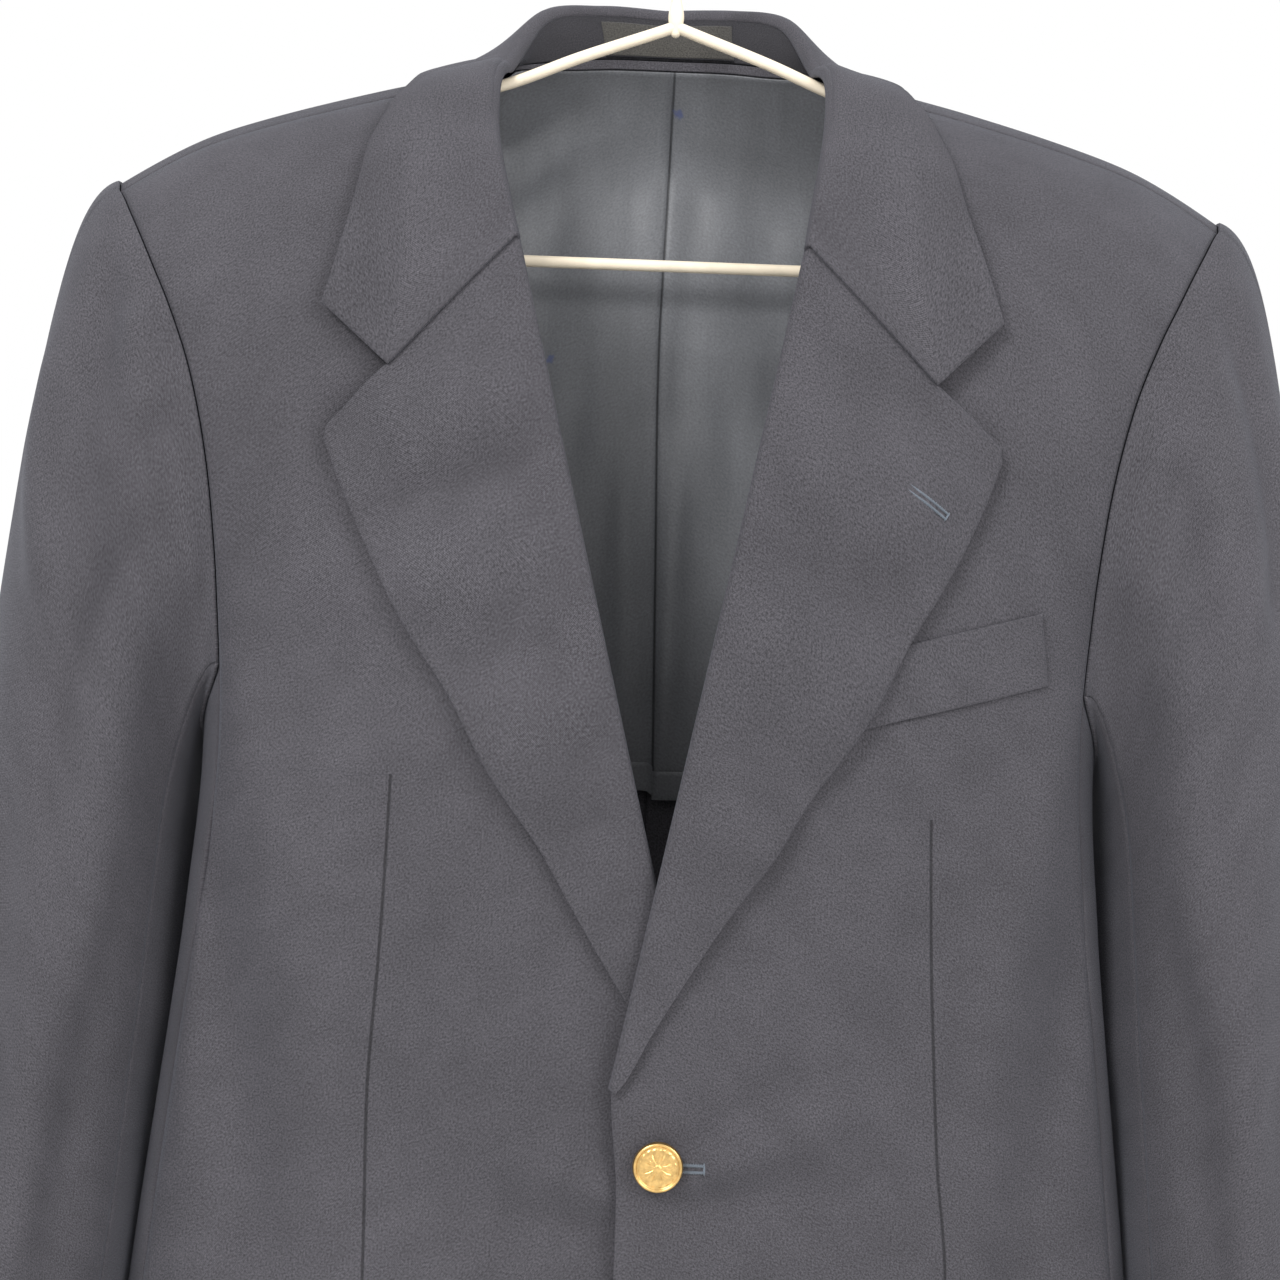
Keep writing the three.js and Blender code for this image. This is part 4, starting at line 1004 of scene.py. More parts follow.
def lapel_places(side):
    """Grid of (across, height) points on one lapel, from its roll line out to its edge."""
    table = LAPEL_EDGES[side]
    kink = int(round(LAPEL_COLUMNS * NOTCH_COLUMN))
    start = np.array([ROLL[side][0], ROLL_TOP])
    notch, tip = np.array(table["notch"], float), np.array(table["tip"], float)
    top = np.vstack([mix(start, notch, even(kink)[:, None]),
                     mix(notch, tip, even(LAPEL_COLUMNS - kink)[1:, None])])
    height = mix(ROLL_TOP, BREAK, even(LAPEL_ROWS))
    inner = np.stack([roll_across(side, height), height], axis=-1)
    outer = spaced([table["tip"], *table["edge"]], even(LAPEL_ROWS))
    low = mix(inner[-1], outer[-1], even(LAPEL_COLUMNS)[:, None])
    flat = fill_between(inner, outer, top, low)
    inward = unit((notch + outer[6]) / 2 - tip)
    near = np.linalg.norm(flat - tip, axis=-1, keepdims=True)
    return flat + inward * TIP_ROUND * np.exp(-(near / TIP_REACH) ** 2)


def lapel_height(along, down):
    """Lift of the lapel's face at shares across and down; it flattens towards the break."""
    return mix(lapel_lift(along), lapel_lift(0.0) * 0.8, ramp(down, 1 - BREAK_FLATNESS, 1))


lapel_surfaces = {side: lapel_surface(side) for side in (LEFT, RIGHT)}
lapel_faces = {}
for side in (LEFT, RIGHT):
    flat = place_of(lapel_places(side))
    along, down = np.meshgrid(even(LAPEL_COLUMNS), even(LAPEL_ROWS))
    face, normals = on_surface(lapel_surfaces[side], flat, lapel_height(along, down))
    lapel_faces[side] = face, normals
    turn = np.radians(np.linspace(ROLL_TURN, 0, ROLL_COLUMNS, endpoint=False))
    radius = ROLL_RADIUS * (1 - ROLL_NARROWS * even(LAPEL_ROWS))[:, None]
    edge, out = face[:, :1], normals[:, :1]
    toward = unit(face[:, :1] - face[:, 1:2])
    roll = (edge + out * (radius * (np.cos(turn) - 1))[..., None]
            + toward * (radius * np.sin(turn))[..., None])
    grid = np.concatenate([roll, face], axis=1)
    roll_uv = flat[:, :1] + np.stack([-side * radius * np.sin(turn), 0 * radius * turn], axis=-1)
    cloth_wall(f"cloth_lapel_{SIDE_NAMES[side]}", grid, CLOTH_WALL, cloth_material,
               side * grid_normals(grid), np.concatenate([roll_uv, flat], axis=1) * (1.0, -1.0))
print("lapels ready")

# %% [markdown]
# ## Collar
#
# The collar stands up round the neck and falls over a rolled crest. Each section springs
# outward from the crest and comes down on the body as a cubic curve. In front it is drawn to
# the gorge seam, and out past the notch to the collar tip.

# %% Collar tables
COLLAR = {
    "along": [0, 1, 2, 3, 4, 5, 6, 7],
    "roll_out": [0, 30, 53.5, 65.5, 71, 69, 64.5, 60],
    "roll_back": [46, 41, 25, 5, -15, -38, -53, -63],
    "roll_height": [-53.8, -53.8, -61.2, -84.2, -103.6, -128, -153, -176],
    "facing": [90, 72, 42, 8, 0, -10, -20, -25],
    "edge_out": [0, 38, 73, 97.5, 108.5, 119, 124, 136],
    "edge_height": [-97, -101, -108.6, -102.2, -112.6, -134, -160, -205],
}
COLLAR_TIP = {LEFT: (135.5, -204.5), RIGHT: (-138, -206)}
COLLAR_END, SHOULDER_STATION = 7.0, 3.2
SHOULDER_END = 4.3
COLLAR_LIFT, COLLAR_CLEAR, COLLAR_SHIFT = 2.7, 2.4, -4.5
COLLAR_SPRING = (4.5, 0.5)  # outward, upward
GORGE_GAP = 0.3
COLLAR_PULL, PATCH_PULL = 0.3, 0.15
COLLAR_STEPS, COLLAR_COLUMNS, NOTCH_AT = 120, 38, 25
COLLAR_UV, STAND_UV = (36, 62), (30, 26)  # mm of cloth a station, and from crest to edge
collar = {name: curve_of(COLLAR, "along", name) for name in COLLAR if name != "along"}


def side_sign(along):
    """Which side of the centre back a station lies on."""
    return np.where(np.asarray(along) < 0, -1.0, 1.0)


def lean(height):
    """How far the neck of the jacket has slid to one side on its hanger."""
    return COLLAR_SHIFT * ramp(height, -205, -120)


def bezier(a, b, c, d, t):
    """Cubic curve through four control points."""
    t = t[..., None]
    return a * (1 - t)**3 + 3 * b * t * (1 - t)**2 + 3 * c * t**2 * (1 - t) + d * t**3


def crest(along):
    """The line over which the collar rolls."""
    height = collar["roll_height"](np.abs(along))
    across = side_sign(along) * collar["roll_out"](np.abs(along)) + lean(height)
    return np.stack([across, collar["roll_back"](np.abs(along)), height], axis=-1)


def outward(along):
    """Level direction that the collar faces at a station."""
    angle = np.radians(collar["facing"](np.abs(along)))
    return np.stack([side_sign(along) * np.cos(angle), np.sin(angle), 0 * angle], axis=-1)


def collar_edge(along):
    """Where the collar's outer edge lies on the body, and the way up the body from there."""
    height = collar["edge_height"](np.abs(along))
    across = side_sign(along) * collar["edge_out"](np.abs(along)) + lean(height)
    front = np.abs(along) > SHOULDER_STATION
    run = run_at(across, height, front)
    here = body_point(across, run)
    up = unit(body_point(across, run - 4 * np.where(run < 0, -1, 1)) - here)
    return here + normal_of(body_point, across, run) * COLLAR_LIFT, up


def collar_end(side, share):
    """The collar's front end: along the gorge seam to the notch, then out to its tip."""
    start = np.stack([np.where(side > 0, ROLL[LEFT][0], ROLL[RIGHT][0]),
                      np.full(np.shape(side), ROLL_TOP)], axis=-1)
    def pick(left, right):
        return np.where((side > 0)[..., None], np.array(left, float), np.array(right, float))
    notch = pick(LAPEL_EDGES[LEFT]["notch"], LAPEL_EDGES[RIGHT]["notch"])
    tip = pick(COLLAR_TIP[LEFT], COLLAR_TIP[RIGHT])
    first = mix(start, notch, np.clip(share / NOTCH_SHARE, 0, 1)[..., None])
    last = mix(notch, tip, np.clip((share - NOTCH_SHARE) / (1 - NOTCH_SHARE), 0, 1)[..., None])
    goal = np.where((share < NOTCH_SHARE)[..., None], first, last)
    return goal + np.array([0.0, GORGE_GAP])


def clear_of_body(point, lift):
    """Pushes points out to an ellipse that stands clear of the shoulder by lift."""
    across, deep, height = point[..., 0], point[..., 1], point[..., 2]
    front = deep < 0
    fall, depth, _ = fall_and_crown(across, front)
    centre = ridge_height(np.abs(across)) - fall
    full = np.where(front, front_fullness(height), back_fullness(height))
    depth = depth * full * oblong(np.abs(across) / half_width(height)) + lift
    rise = np.maximum(0.0, height - centre)
    share = np.maximum(np.hypot(deep / depth, rise / (fall + lift)), 1e-6)
    push = np.where(share < 1, 1 / share, 1.0)
    return np.stack([across, deep * push, height + rise * (push - 1)], axis=-1)


def sprung_point(along, share):
    """A section of the collar as it springs from its crest and comes down on the body."""
    start = crest(along)
    end, up = collar_edge(along)
    reach = np.linalg.norm(end - start, axis=-1, keepdims=True) / 3
    first = start + outward(along) * COLLAR_SPRING[0] + np.array([0, 0, COLLAR_SPRING[1]])
    return bezier(start, first, end + up * reach, end, share)


def collar_point(along, share):
    """The sprung section, drawn to the gorge at its front end and kept clear of the body."""
    side = side_sign(along)
    point = sprung_point(along, share)
    pull = ramp(np.abs(along), SHOULDER_END, COLLAR_END)
    goal = collar_end(side, share)
    last = sprung_point(side * COLLAR_END, share)
    point[..., 0] += (goal[..., 0] - last[..., 0]) * pull
    point[..., 2] += (goal[..., 1] - last[..., 2]) * pull
    drawn_height = point[..., 2]
    lie = ramp(drawn_height, -100, -150) * ramp(np.abs(along), SHOULDER_STATION, SHOULDER_END)
    point = clear_of_body(point, COLLAR_CLEAR * ramp(share, 0, 0.15))
    point[..., 2] = mix(point[..., 2], drawn_height, lie)
    run = run_at(point[..., 0], point[..., 2], True)
    left = lapel_surfaces[LEFT](point[..., 0], run)[..., 1]
    right = lapel_surfaces[RIGHT](point[..., 0], run)[..., 1]
    flat = np.where(side > 0, left, right) - lapel_lift(share)
    point[..., 1] = mix(point[..., 1], flat, lie)
    return point


# %% Build the collar fall
COLLAR_CREASES = [  # along, share at the start and the end; width; rise
    (0.4, 0.2, 1.8, 0.7, 0.35, 0.5), (-0.7, 0.3, -2.1, 0.6, 0.4, 0.6),
    (4.3, 0.1, 5.6, 0.9, 0.35, 0.8), (-4.6, 0.1, -5.7, 0.9, 0.35, 0.9),
    (5.8, 0.3, 6.6, 0.8, 0.3, -0.6),
]
collar_along = mix(-COLLAR_END, COLLAR_END, even(2 * COLLAR_STEPS))
kinked = np.r_[even(NOTCH_AT) * NOTCH_SHARE,
               mix(NOTCH_SHARE, 1.0, even(COLLAR_COLUMNS - NOTCH_AT)[1:])]
along, share = np.meshgrid(collar_along, kinked, indexing="ij")
collar_grid = collar_point(along, share)
collar_normals = -grid_normals(collar_grid)
collar_grid = collar_grid + collar_normals * creases(along, share, COLLAR_CREASES)[..., None]
collar_normals = -grid_normals(collar_grid)
collar_uv = np.stack([np.abs(along), share], axis=-1) * COLLAR_UV

OVER = {"along": [0, 2.4, 3.4, 4.6, 7], "radius": [2.7, 2.7, 2.2, 1.0, 0.7],
        "down": [1.4, 1.4, 1.2, 0.6, 0.5]}
over_radius, over_down = (curve_of(OVER, "along", name) for name in ("radius", "down"))
OVER_ANGLES = np.radians([0, 18, 36, 54, 72])


def rolled_over(along):
    """Columns inside the crest: a quarter circle over it and a short straight part down."""
    radius = over_radius(np.abs(along))[:, None, None]
    inward, up = -outward(along)[:, None], np.array([0.0, 0.0, 1.0])
    turn = OVER_ANGLES[None, :, None]
    round_part = (inward * np.cos(turn) + up * (np.sin(turn) - 1)) * radius
    low = round_part[:, :1] - up * over_down(np.abs(along))[:, None, None]
    return collar_grid[:, :1] + np.concatenate([low, round_part], axis=1)


over = rolled_over(collar_along)
rolled_grid = np.concatenate([over, collar_grid], axis=1)
rolled_uv = np.concatenate([np.repeat(collar_uv[:, :1], over.shape[1], 1), collar_uv], axis=1)
rolled_uv[:, :over.shape[1], 1] -= np.linspace(12, 1, over.shape[1])
cloth_wall("cloth_collar_fall", rolled_grid, LAPEL_WALL, cloth_material, -grid_normals(rolled_grid),
           rolled_uv, COLLAR_PULL)
print("collar stations:", len(collar_along))

# %% [markdown]
# ## Collar stand, neck facing and patch
#
# Inside the neck the collar's stand rises from the neck seam to the crest, with a narrow
# strip of the same cloth below it; the stand's cloth is darkened there as painted shade. A plain
# grey tape patch is sewn to the stand. It carries no print, and a piping strip lies along its
# lower edge, coloured near black as painted shadow for the gap beneath the patch.

# %% Build the stand, facing and patch
STAND_TABLE = {"along": [0, 1, 2, 3, 4], "out": [0, 28, 50, 70, 76], "back": [36, 29, 17.5, 3, -14],
               "height": [-77.4, -79.4, -84.5, -91.5, -104]}
stand = {name: curve_of(STAND_TABLE, "along", name) for name in ("out", "back", "height")}
STAND_END, STAND_SHARE, STAND_GAP, STAND_BELOW = 3.15, 0.4, 2.7, 4.0
FACING_END, FACING_DROP = 3.0, 4.2
PATCH_END, PATCH_TOP, PATCH_BOTTOM, PATCH_LIFT = 1.04, 0.16, 0.97, 0.5
PIPING_SHARE, PIPING_WALL = 0.03, 1.0


def stand_point(along, share):
    """The stand's inner face: a ruling from under the crest to the neck seam, a little bowed."""
    top = crest(along) - outward(along) * STAND_GAP - np.array([0, 0, STAND_BELOW])
    height = stand["height"](np.abs(along))
    foot = np.stack([side_sign(along) * stand["out"](np.abs(along)) + STAND_SHARE * lean(height),
                     stand["back"](np.abs(along)), height], axis=-1)
    bow = -1.2 * np.sin(np.pi * share)
    return mix(top, foot, share[..., None]) + outward(along) * bow[..., None]


along, share = np.meshgrid(mix(-STAND_END, STAND_END, even(160)), even(30), indexing="ij")
stand_grid = stand_point(along, share)
# the stand wears the darkened copy of the cloth: painted shade
cloth_wall("cloth_collar_stand", stand_grid, STAND_WALL, shaded_stand_material, grid_normals(stand_grid),
           np.stack([along, share], axis=-1) * STAND_UV, COLLAR_PULL)


def facing_point(along, share):
    """The strip below the stand, narrower towards its ends; the lining is sewn to its low edge."""
    drop = FACING_DROP * (1 - 0.6 * ramp(np.abs(along), 1.3, FACING_END))
    return stand_point(along, np.ones_like(share)) + np.stack(
        [0 * share, 0.4 * share, -0.15 - drop * share], axis=-1)


along, share = np.meshgrid(mix(-FACING_END, FACING_END, even(100)), even(8), indexing="ij")
facing_grid = facing_point(along, share)
cloth_wall("cloth_neck_facing", facing_grid, STAND_WALL, cloth_material, grid_normals(facing_grid),
           np.stack([along * STAND_UV[0], share * FACING_DROP], axis=-1), COLLAR_PULL)


def patch_wall(name, top, low, wall, material):
    """A flat piece that lies on the stand between two shares of its height."""
    along, share = np.meshgrid(mix(-PATCH_END, PATCH_END, even(80)), mix(top, low, even(24)),
                               indexing="ij")
    grid = stand_point(along, share) - outward(along) * (PATCH_LIFT + wall)
    return cloth_wall(name, grid, wall, material, grid_normals(grid),
                      np.stack([along, share], axis=-1) * STAND_UV, PATCH_PULL)


patch_wall("neck_patch_tape", PATCH_TOP, PATCH_BOTTOM - PIPING_SHARE, PATCH_WALL, patch_material)
# the piping strip is coloured near black: painted shadow of the gap under the patch's edge
patch_wall("neck_patch_shadow_piping", PATCH_BOTTOM - PIPING_SHARE, PATCH_BOTTOM, PIPING_WALL,
           shadow_piping_material)
print("neck pieces ready")

# %% [markdown]
# ## Lining of the upper back
#
# The jacket is half lined: two pieces of smooth lining, seamed down the centre, cover the
# back from the neck to below the armholes, each with a turned hem of its own. Below them the
# back shows its wrong side, with the centre seam's allowances pressed open.

# %% Build the lining
LINING_DEPTH = 5.2
LINING_TOP = {"out": [0, 28, 46, 62, 80], "drop": [11.5, 8, 4.5, 3, 3]}
LINING_SEAM = {"height": [-80, -140, -209, -300, -396, -420],
               "across": [0.6, -0.4, -1.7, 0.4, 2.7, 2.7]}
lining_top = curve_of(LINING_TOP, "out", "drop")
lining_seam = curve_of(LINING_SEAM, "height", "across")
SEWN_DEPTH = 34.0
BAR_STEP, LINING_CREASE_DEPTH = 4.2, 1.5  # the lining hangs forward above the bar's level
LINING_HEM = {LEFT: -408.0, RIGHT: -406.0}
LINING_SIDE = {"height": [-110, -160, -230, -300, -352, -410],
               "out": [205, 212, 196, 176, 158, 160]}
lining_side = curve_of(LINING_SIDE, "height", "out")
LINING_COLUMNS, LINING_ROWS = 64, 130
LINING_CREASES = [
    (14, -110, 6, -260, 7, 0.9), (10, -250, 5, -390, 5, -0.9), (44, -120, 58, -270, 12, 1.4),
    (70, -180, 62, -380, 10, -1.2), (96, -130, 118, -260, 13, 1.8), (30, -200, 28, -400, 9, 0.9),
    (88, -260, 84, -400, 10, 1.2), (20, -230, 42, -330, 9, -0.9),
]
NECK_FOLDS = [(-84, -120, -40, -94, 5, 3.2), (-80, -134, -46, -112, 6, -1.8),
              (72, -150, 62, -240, 9, 2.6)]
LINING_SHIFT = {LEFT: 0.0, RIGHT: 6.0}  # the two halves' folds aren't mirrored
LINING_PULL = 0.25


def lining_places(side):
    """Grid of places on one half of the lining, from the centre seam outward."""
    down = even(LINING_ROWS)[:, None]
    share = even(LINING_COLUMNS)[None]
    rough = mix(-150, LINING_HEM[side], down)
    out = share * lining_side(np.where(down == 0, -110, rough))
    top = run_at(out, ridge_height(out) - lining_top(out), False)
    low = run_at(out, LINING_HEM[side] + 0 * out, False)
    wander = lining_seam(mix(-80, LINING_HEM[side], down)) * ramp(out, 40, 0)
    return np.stack([side * (out - 0.06) + wander, mix(top, low, down)], axis=-1)


def lining_lift(side, places):
    """Depth inside the back, with soft folds that differ a little between the halves."""
    height = body_point(places[..., 0], places[..., 1])[..., 2]
    waves = creases(np.abs(places[..., 0]) - LINING_SHIFT[side], height, LINING_CREASES)
    near_edge = ramp(np.abs(places[..., 0]), 0, 5) * ramp(height, -96, -130)
    seam = 0.9 * np.exp(-((places[..., 0] - lining_seam(height)) / 3.0) ** 2)
    under_bar = -BAR_STEP * ramp(height, -184, -172) * ramp(height, -112, -168)
    folds = creases(places[..., 0], height, NECK_FOLDS) * ramp(height, -86, -98)
    return -LINING_DEPTH - 0.9 + waves * near_edge * LINING_CREASE_DEPTH + seam + under_bar + folds


def sewn_top(side, grid):
    """Draws the top of the lining to the line under stand and facing, fading out below it."""
    line = facing_point(side * np.linspace(0, STAND_END - 0.1, 120), np.ones(120))
    line = line + np.array([0.0, -0.1, 0.05])
    out = side * grid[0, :, 0]
    goal = np.stack([np.interp(out, side * line[:, 0], line[:, k]) for k in range(3)], axis=-1)
    change = (goal - grid[0]) * np.array([0.0, 1.0, 1.0]) * ramp(out, 84, 66)[:, None]
    below = np.linalg.norm(grid - grid[:1], axis=-1)
    return grid + change[None] * ramp(below, SEWN_DEPTH, 0)[..., None]


for side in (LEFT, RIGHT):
    places = lining_places(side)
    grid, _ = on_surface(body_point, places, lining_lift(side, places))
    grid = sewn_top(side, grid)
    made = cloth_wall(f"lining_back_{SIDE_NAMES[side]}", grid, LINING_WALL, lining_material,
                      -side * grid_normals(grid), places, LINING_PULL)
    mark_seam(made, lambda across, height: across - lining_seam(height))

# %% Build the hem turn-up and the seam allowances
HEM_TURN, HEM_GAP, HEM_PULL = 14.0, 0.15, 0.2
ALLOWANCE = {"near": 0.7, "far": 14.5, "top": -395.0, "wall": 1.0, "gap": 0.25}
for side in (LEFT, RIGHT):
    places = lining_places(side)
    height = body_point(places[..., 0], places[..., 1])[..., 2]
    rows = height[:, 0] < LINING_HEM[side] + HEM_TURN
    turned = places[rows]
    lift = lining_lift(side, turned) - LINING_WALL - HEM_GAP
    grid, normals = on_surface(body_point, turned, lift)
    cloth_wall(f"lining_hem_{SIDE_NAMES[side]}", grid, HEM_WALL, lining_material, normals,
               turned, HEM_PULL)

    out, height = np.meshgrid(mix(ALLOWANCE["near"], ALLOWANCE["far"], even(14)),
                              mix(ALLOWANCE["top"], BACK_HEM + 6, even(140)))
    places = np.stack([side * out, run_at(side * out, height, False)], axis=-1)
    lift = -CLOTH_WALL - ALLOWANCE["gap"] - 0.6 * ramp(out, 0, 4)
    grid, normals = on_surface(draped_back, places, lift)
    cloth_wall(f"cloth_back_allowance_{SIDE_NAMES[side]}", grid, ALLOWANCE["wall"],
               inside_material, normals, places, LINING_PULL)
print("lining ready")

# %% [markdown]
# ## Welt and pocket flaps
#
# The breast welt is a folded strip with slanting ends, stitched down at its sides, whose lower
# edge runs in under the lapel. The flaps of the two hip pockets lie below the photograph.
# Each piece is a patch of the front's surface moved out.

# %% Build welt and flaps
# corners as (out, height): top inner, top outer, bottom inner, bottom outer
WELT = [(74, -341), (156, -319), (72, -371.5), (160, -348.5)]
FLAP = [(66, -652), (184, -659), (64, -704), (186, -712)]
TRIM_LIFT, TRIM_PUFF, TRIM_PULL = 0.5, 0.4, 0.35
FLAP_ROUND = 3.5


def corner_places(side, corners, columns, rows, round_low=0.0):
    """Places on a front between four corners; the two lower ones may be rounded off."""
    top_in, top_out, low_in, low_out = (np.array(c, float) for c in corners)
    u, v = even(columns)[None, :, None], even(rows)[:, None, None]
    flat = mix(mix(top_in, top_out, u), mix(low_in, low_out, u), v)
    for corner, inward in ((low_in, (1, 1)), (low_out, (-1, 1))):
        near = np.linalg.norm(flat - corner, axis=-1, keepdims=True)
        flat = flat + np.array(inward) * round_low * np.exp(-(near / (1.6 * round_low + 1e-6)) ** 2)
    return place_of(flat * np.array([side, 1.0]))


def trim_piece(name, side, corners, columns, rows, round_low):
    """A flat piece that lies on a front, a little fuller in its middle."""
    places = corner_places(side, corners, columns, rows, round_low)
    swell = np.sin(np.pi * even(rows))[:, None] * np.sin(np.pi * even(columns))[None]
    lift = TRIM_WALL + TRIM_LIFT + TRIM_PUFF * np.maximum(swell, 0.0) ** 0.5
    grid, normals = on_surface(front_surfaces[side], places, lift)
    return cloth_wall(name, grid, TRIM_WALL, cloth_material, normals, places * (1.0, -1.0),
                      TRIM_PULL)


trim_piece("cloth_breast_welt", LEFT, WELT, 60, 24, 0.0)
for side in (LEFT, RIGHT):
    trim_piece(f"cloth_pocket_flap_{SIDE_NAMES[side]}", side, FLAP, 76, 36, FLAP_ROUND)
print("trims ready")

# %% [markdown]
# ## Sleeves
#
# Every line down a sleeve starts on the armhole seam, springs out over the shoulder's pad and
# settles on a tapering tube that hangs a little forward of plumb. The sleeve is cut in two, a
# top sleeve and a narrower under sleeve. Drag lines fall from the head of the seam.

# %% Sleeve tables
SLEEVE = {
    "height": [-240, -330, -400, -500, -590, -680, -760],
    "out": [221.5, 231.5, 238, 245, 249, 254, 259],
    "back": [2, 3, 3, -2, -11, -24, -36],
    "half_wide": [43.5, 44.5, 44.5, 43, 40, 35, 31],
    "half_deep": [66, 70, 71, 69, 65, 60, 56],
}
sleeve = {name: curve_of(SLEEVE, "height", name) for name in SLEEVE if name != "height"}
CUFF = -752.0
JOIN_MEAN, JOIN_TILT = -346.0, 84.0
HEAD_SPRING, HEAD_PUFF, ARRIVE = 0.54, 0.17, 0.9
TURN_START, TURN_FRONT, TURN_BACK, TURN_END = 10.0, 148.0, 232.0, 370.0
HEAD_ROWS, ARM_ROWS = 50, 116
SLEEVE_CREASE_DEPTH, SLEEVE_PULL = 2.6, 0.26
UNDER_EXTRA = 8  # columns by which the under sleeve passes the side panel's
MM_A_DEGREE = 0.98  # cloth round the sleeve

# turn, height at the start; turn, height at the end; width in degrees; rise (mm)
SLEEVE_CREASES = {
    LEFT: [
        (38, -190, 62, -330, 8, 2.4), (60, -196, 90, -262, 5, -1.9), (70, -214, 104, -300, 6, 1.6),
        (84, -240, 118, -318, 5, -1.7), (30, -240, 40, -360, 7, -1.5),
        (112, -330, 120, -470, 12, -1.6),
        (60, -380, 78, -560, 12, 1.6), (96, -480, 84, -680, 12, -1.4),
        (44, -420, 50, -640, 12, 1.0),
        (128, -430, 112, -600, 10, 1.3), (200, -400, 176, -520, 14, -2.0),
        (300, -220, 318, -420, 12, 1.4),
        (330, -230, 336, -440, 10, -0.8), (270, -380, 288, -560, 12, 1.6),
        (250, -500, 262, -700, 12, -1.4),
    ],
    RIGHT: [
        (36, -184, 96, -300, 6, 2.3), (22, -206, 80, -336, 7, -1.6), (60, -206, 90, -254, 5, -2.3),
        (72, -222, 110, -282, 6, 1.7), (92, -256, 132, -322, 6, -1.7),
        (104, -290, 96, -420, 8, 1.3),
        (116, -340, 122, -500, 12, -1.8), (66, -400, 82, -560, 12, 1.6),
        (98, -500, 86, -690, 12, -1.4),
        (128, -440, 114, -620, 10, 1.3), (200, -400, 176, -520, 14, -2.0),
        (304, -220, 320, -420, 12, 1.4),
        (334, -240, 330, -440, 10, -0.8), (268, -380, 290, -560, 12, 1.6),
        (248, -500, 264, -700, 12, -1.4),
    ],
}


def arm_point(side, turn, height):
    """The hanging tube: an ellipse about its centre line at every height."""
    angle = np.radians(turn)
    return np.stack([side * (sleeve["out"](height) + sleeve["half_wide"](height) * np.cos(angle)),
                     sleeve["back"](height) - sleeve["half_deep"](height) * np.sin(angle),
                     height + 0 * turn], axis=-1)


def armhole_loop(side):
    """The armhole seam once round: points, body normals and each point's turn on the sleeve."""
    front, under = front_armhole(side), side_top()
    back = back_armhole(side)[::-1]
    parts = [(front_surfaces[side], front, 1.0), (side_of(side), under[1:], -float(side)),
             (draped_back, back[1:], 1.0)]
    point = np.vstack([surface(p[:, 0], p[:, 1]) for surface, p, _ in parts])
    normal = np.vstack([normal_of(surface, p[:, 0], p[:, 1]) * sign for surface, p, sign in parts])
    knots = [0, SHOULDER_ROWS, SHOULDER_ROWS + SIDE_COLUMNS, 2 * SHOULDER_ROWS + SIDE_COLUMNS]
    turn = np.interp(np.arange(len(point)), knots, [TURN_START, TURN_FRONT, TURN_BACK, TURN_END])
    ring = point[:-1]
    along = np.roll(ring, -1, axis=0) - np.roll(ring, 1, axis=0)
    along = np.vstack([along, along[:1]])
    away = unit(np.cross(normal, along)) * side
    return point, normal, away, turn


def smooth_round(values, passes=3):
    """Averages each value with its neighbours round a closed loop."""
    ring = values[:-1]
    for _ in range(passes):
        ring = (np.roll(ring, 1, axis=0) + 2 * ring + np.roll(ring, -1, axis=0)) / 4
    return np.vstack([ring, ring[:1]])


def sleeve_grid(side):
    """Grid of sleeve points, round by down: a cubic from the seam to the tube, then the tube."""
    point, normal, away, turn = armhole_loop(side)
    away, normal = unit(smooth_round(away)), unit(smooth_round(normal))
    join_height = JOIN_MEAN + JOIN_TILT * np.cos(np.radians(turn))
    join = arm_point(side, turn, join_height)
    below = arm_point(side, turn, join_height - 10)
    length = np.linalg.norm(join - point, axis=-1, keepdims=True)
    leave = (away * HEAD_SPRING + normal * HEAD_PUFF) * length
    arrive = unit(below - join) * ARRIVE * length
    t = (np.arange(HEAD_ROWS) / HEAD_ROWS)[:, None, None]
    start = point + away * 0.1
    head = (start * (2 * t**3 - 3 * t**2 + 1) + leave * (t**3 - 2 * t**2 + t)
            + join * (-2 * t**3 + 3 * t**2) + arrive * (t**3 - t**2))
    height = mix(join_height, CUFF, even(ARM_ROWS)[:, None])
    tube = arm_point(side, turn[None], height)
    grid = np.concatenate([head, tube]).transpose(1, 0, 2)
    return grid, turn


def ring_normals(grid, side):
    """Outward normals of a grid whose first and last columns are the same line."""
    ring = grid[:-1]
    along = np.roll(ring, -1, axis=0) - np.roll(ring, 1, axis=0)
    along = np.concatenate([along, along[:1]])
    return unit(np.cross(np.gradient(grid, axis=1), along)) * side


for side in (LEFT, RIGHT):
    grid, turn = sleeve_grid(side)
    normals = ring_normals(grid, side)
    rows = grid.shape[1]
    keep = ramp(np.arange(rows), 0, 12)[None] * ramp(np.arange(rows)[::-1], 0, 10)[None]
    keep = keep * (1 - 0.6 * ramp(np.cos(np.radians(turn)), 0.70, 0.95))[:, None]
    rise = SLEEVE_CREASE_DEPTH * creases(turn[:, None], grid[..., 2], SLEEVE_CREASES[side]) * keep
    grid = grid + normals * rise[..., None]
    normals = ring_normals(grid, side)
    down = np.r_[0.0, np.cumsum(np.linalg.norm(np.diff(grid[SHOULDER_ROWS // 2], axis=0), axis=-1))]
    places = np.stack(np.broadcast_arrays(turn[:, None] * MM_A_DEGREE, down[None]), axis=-1)
    start = SHOULDER_ROWS
    end = SHOULDER_ROWS + SIDE_COLUMNS + UNDER_EXTRA
    wrap = np.r_[np.arange(end, len(turn) - 1), np.arange(0, start + 1)]
    for name, order in (("top", wrap), ("under", np.arange(start, end + 1))):
        cloth_wall(f"cloth_{name}_sleeve_{SIDE_NAMES[side]}", grid[order], CLOTH_WALL,
                   cloth_material, normals[order], places[order], SLEEVE_PULL)
print("sleeves ready")

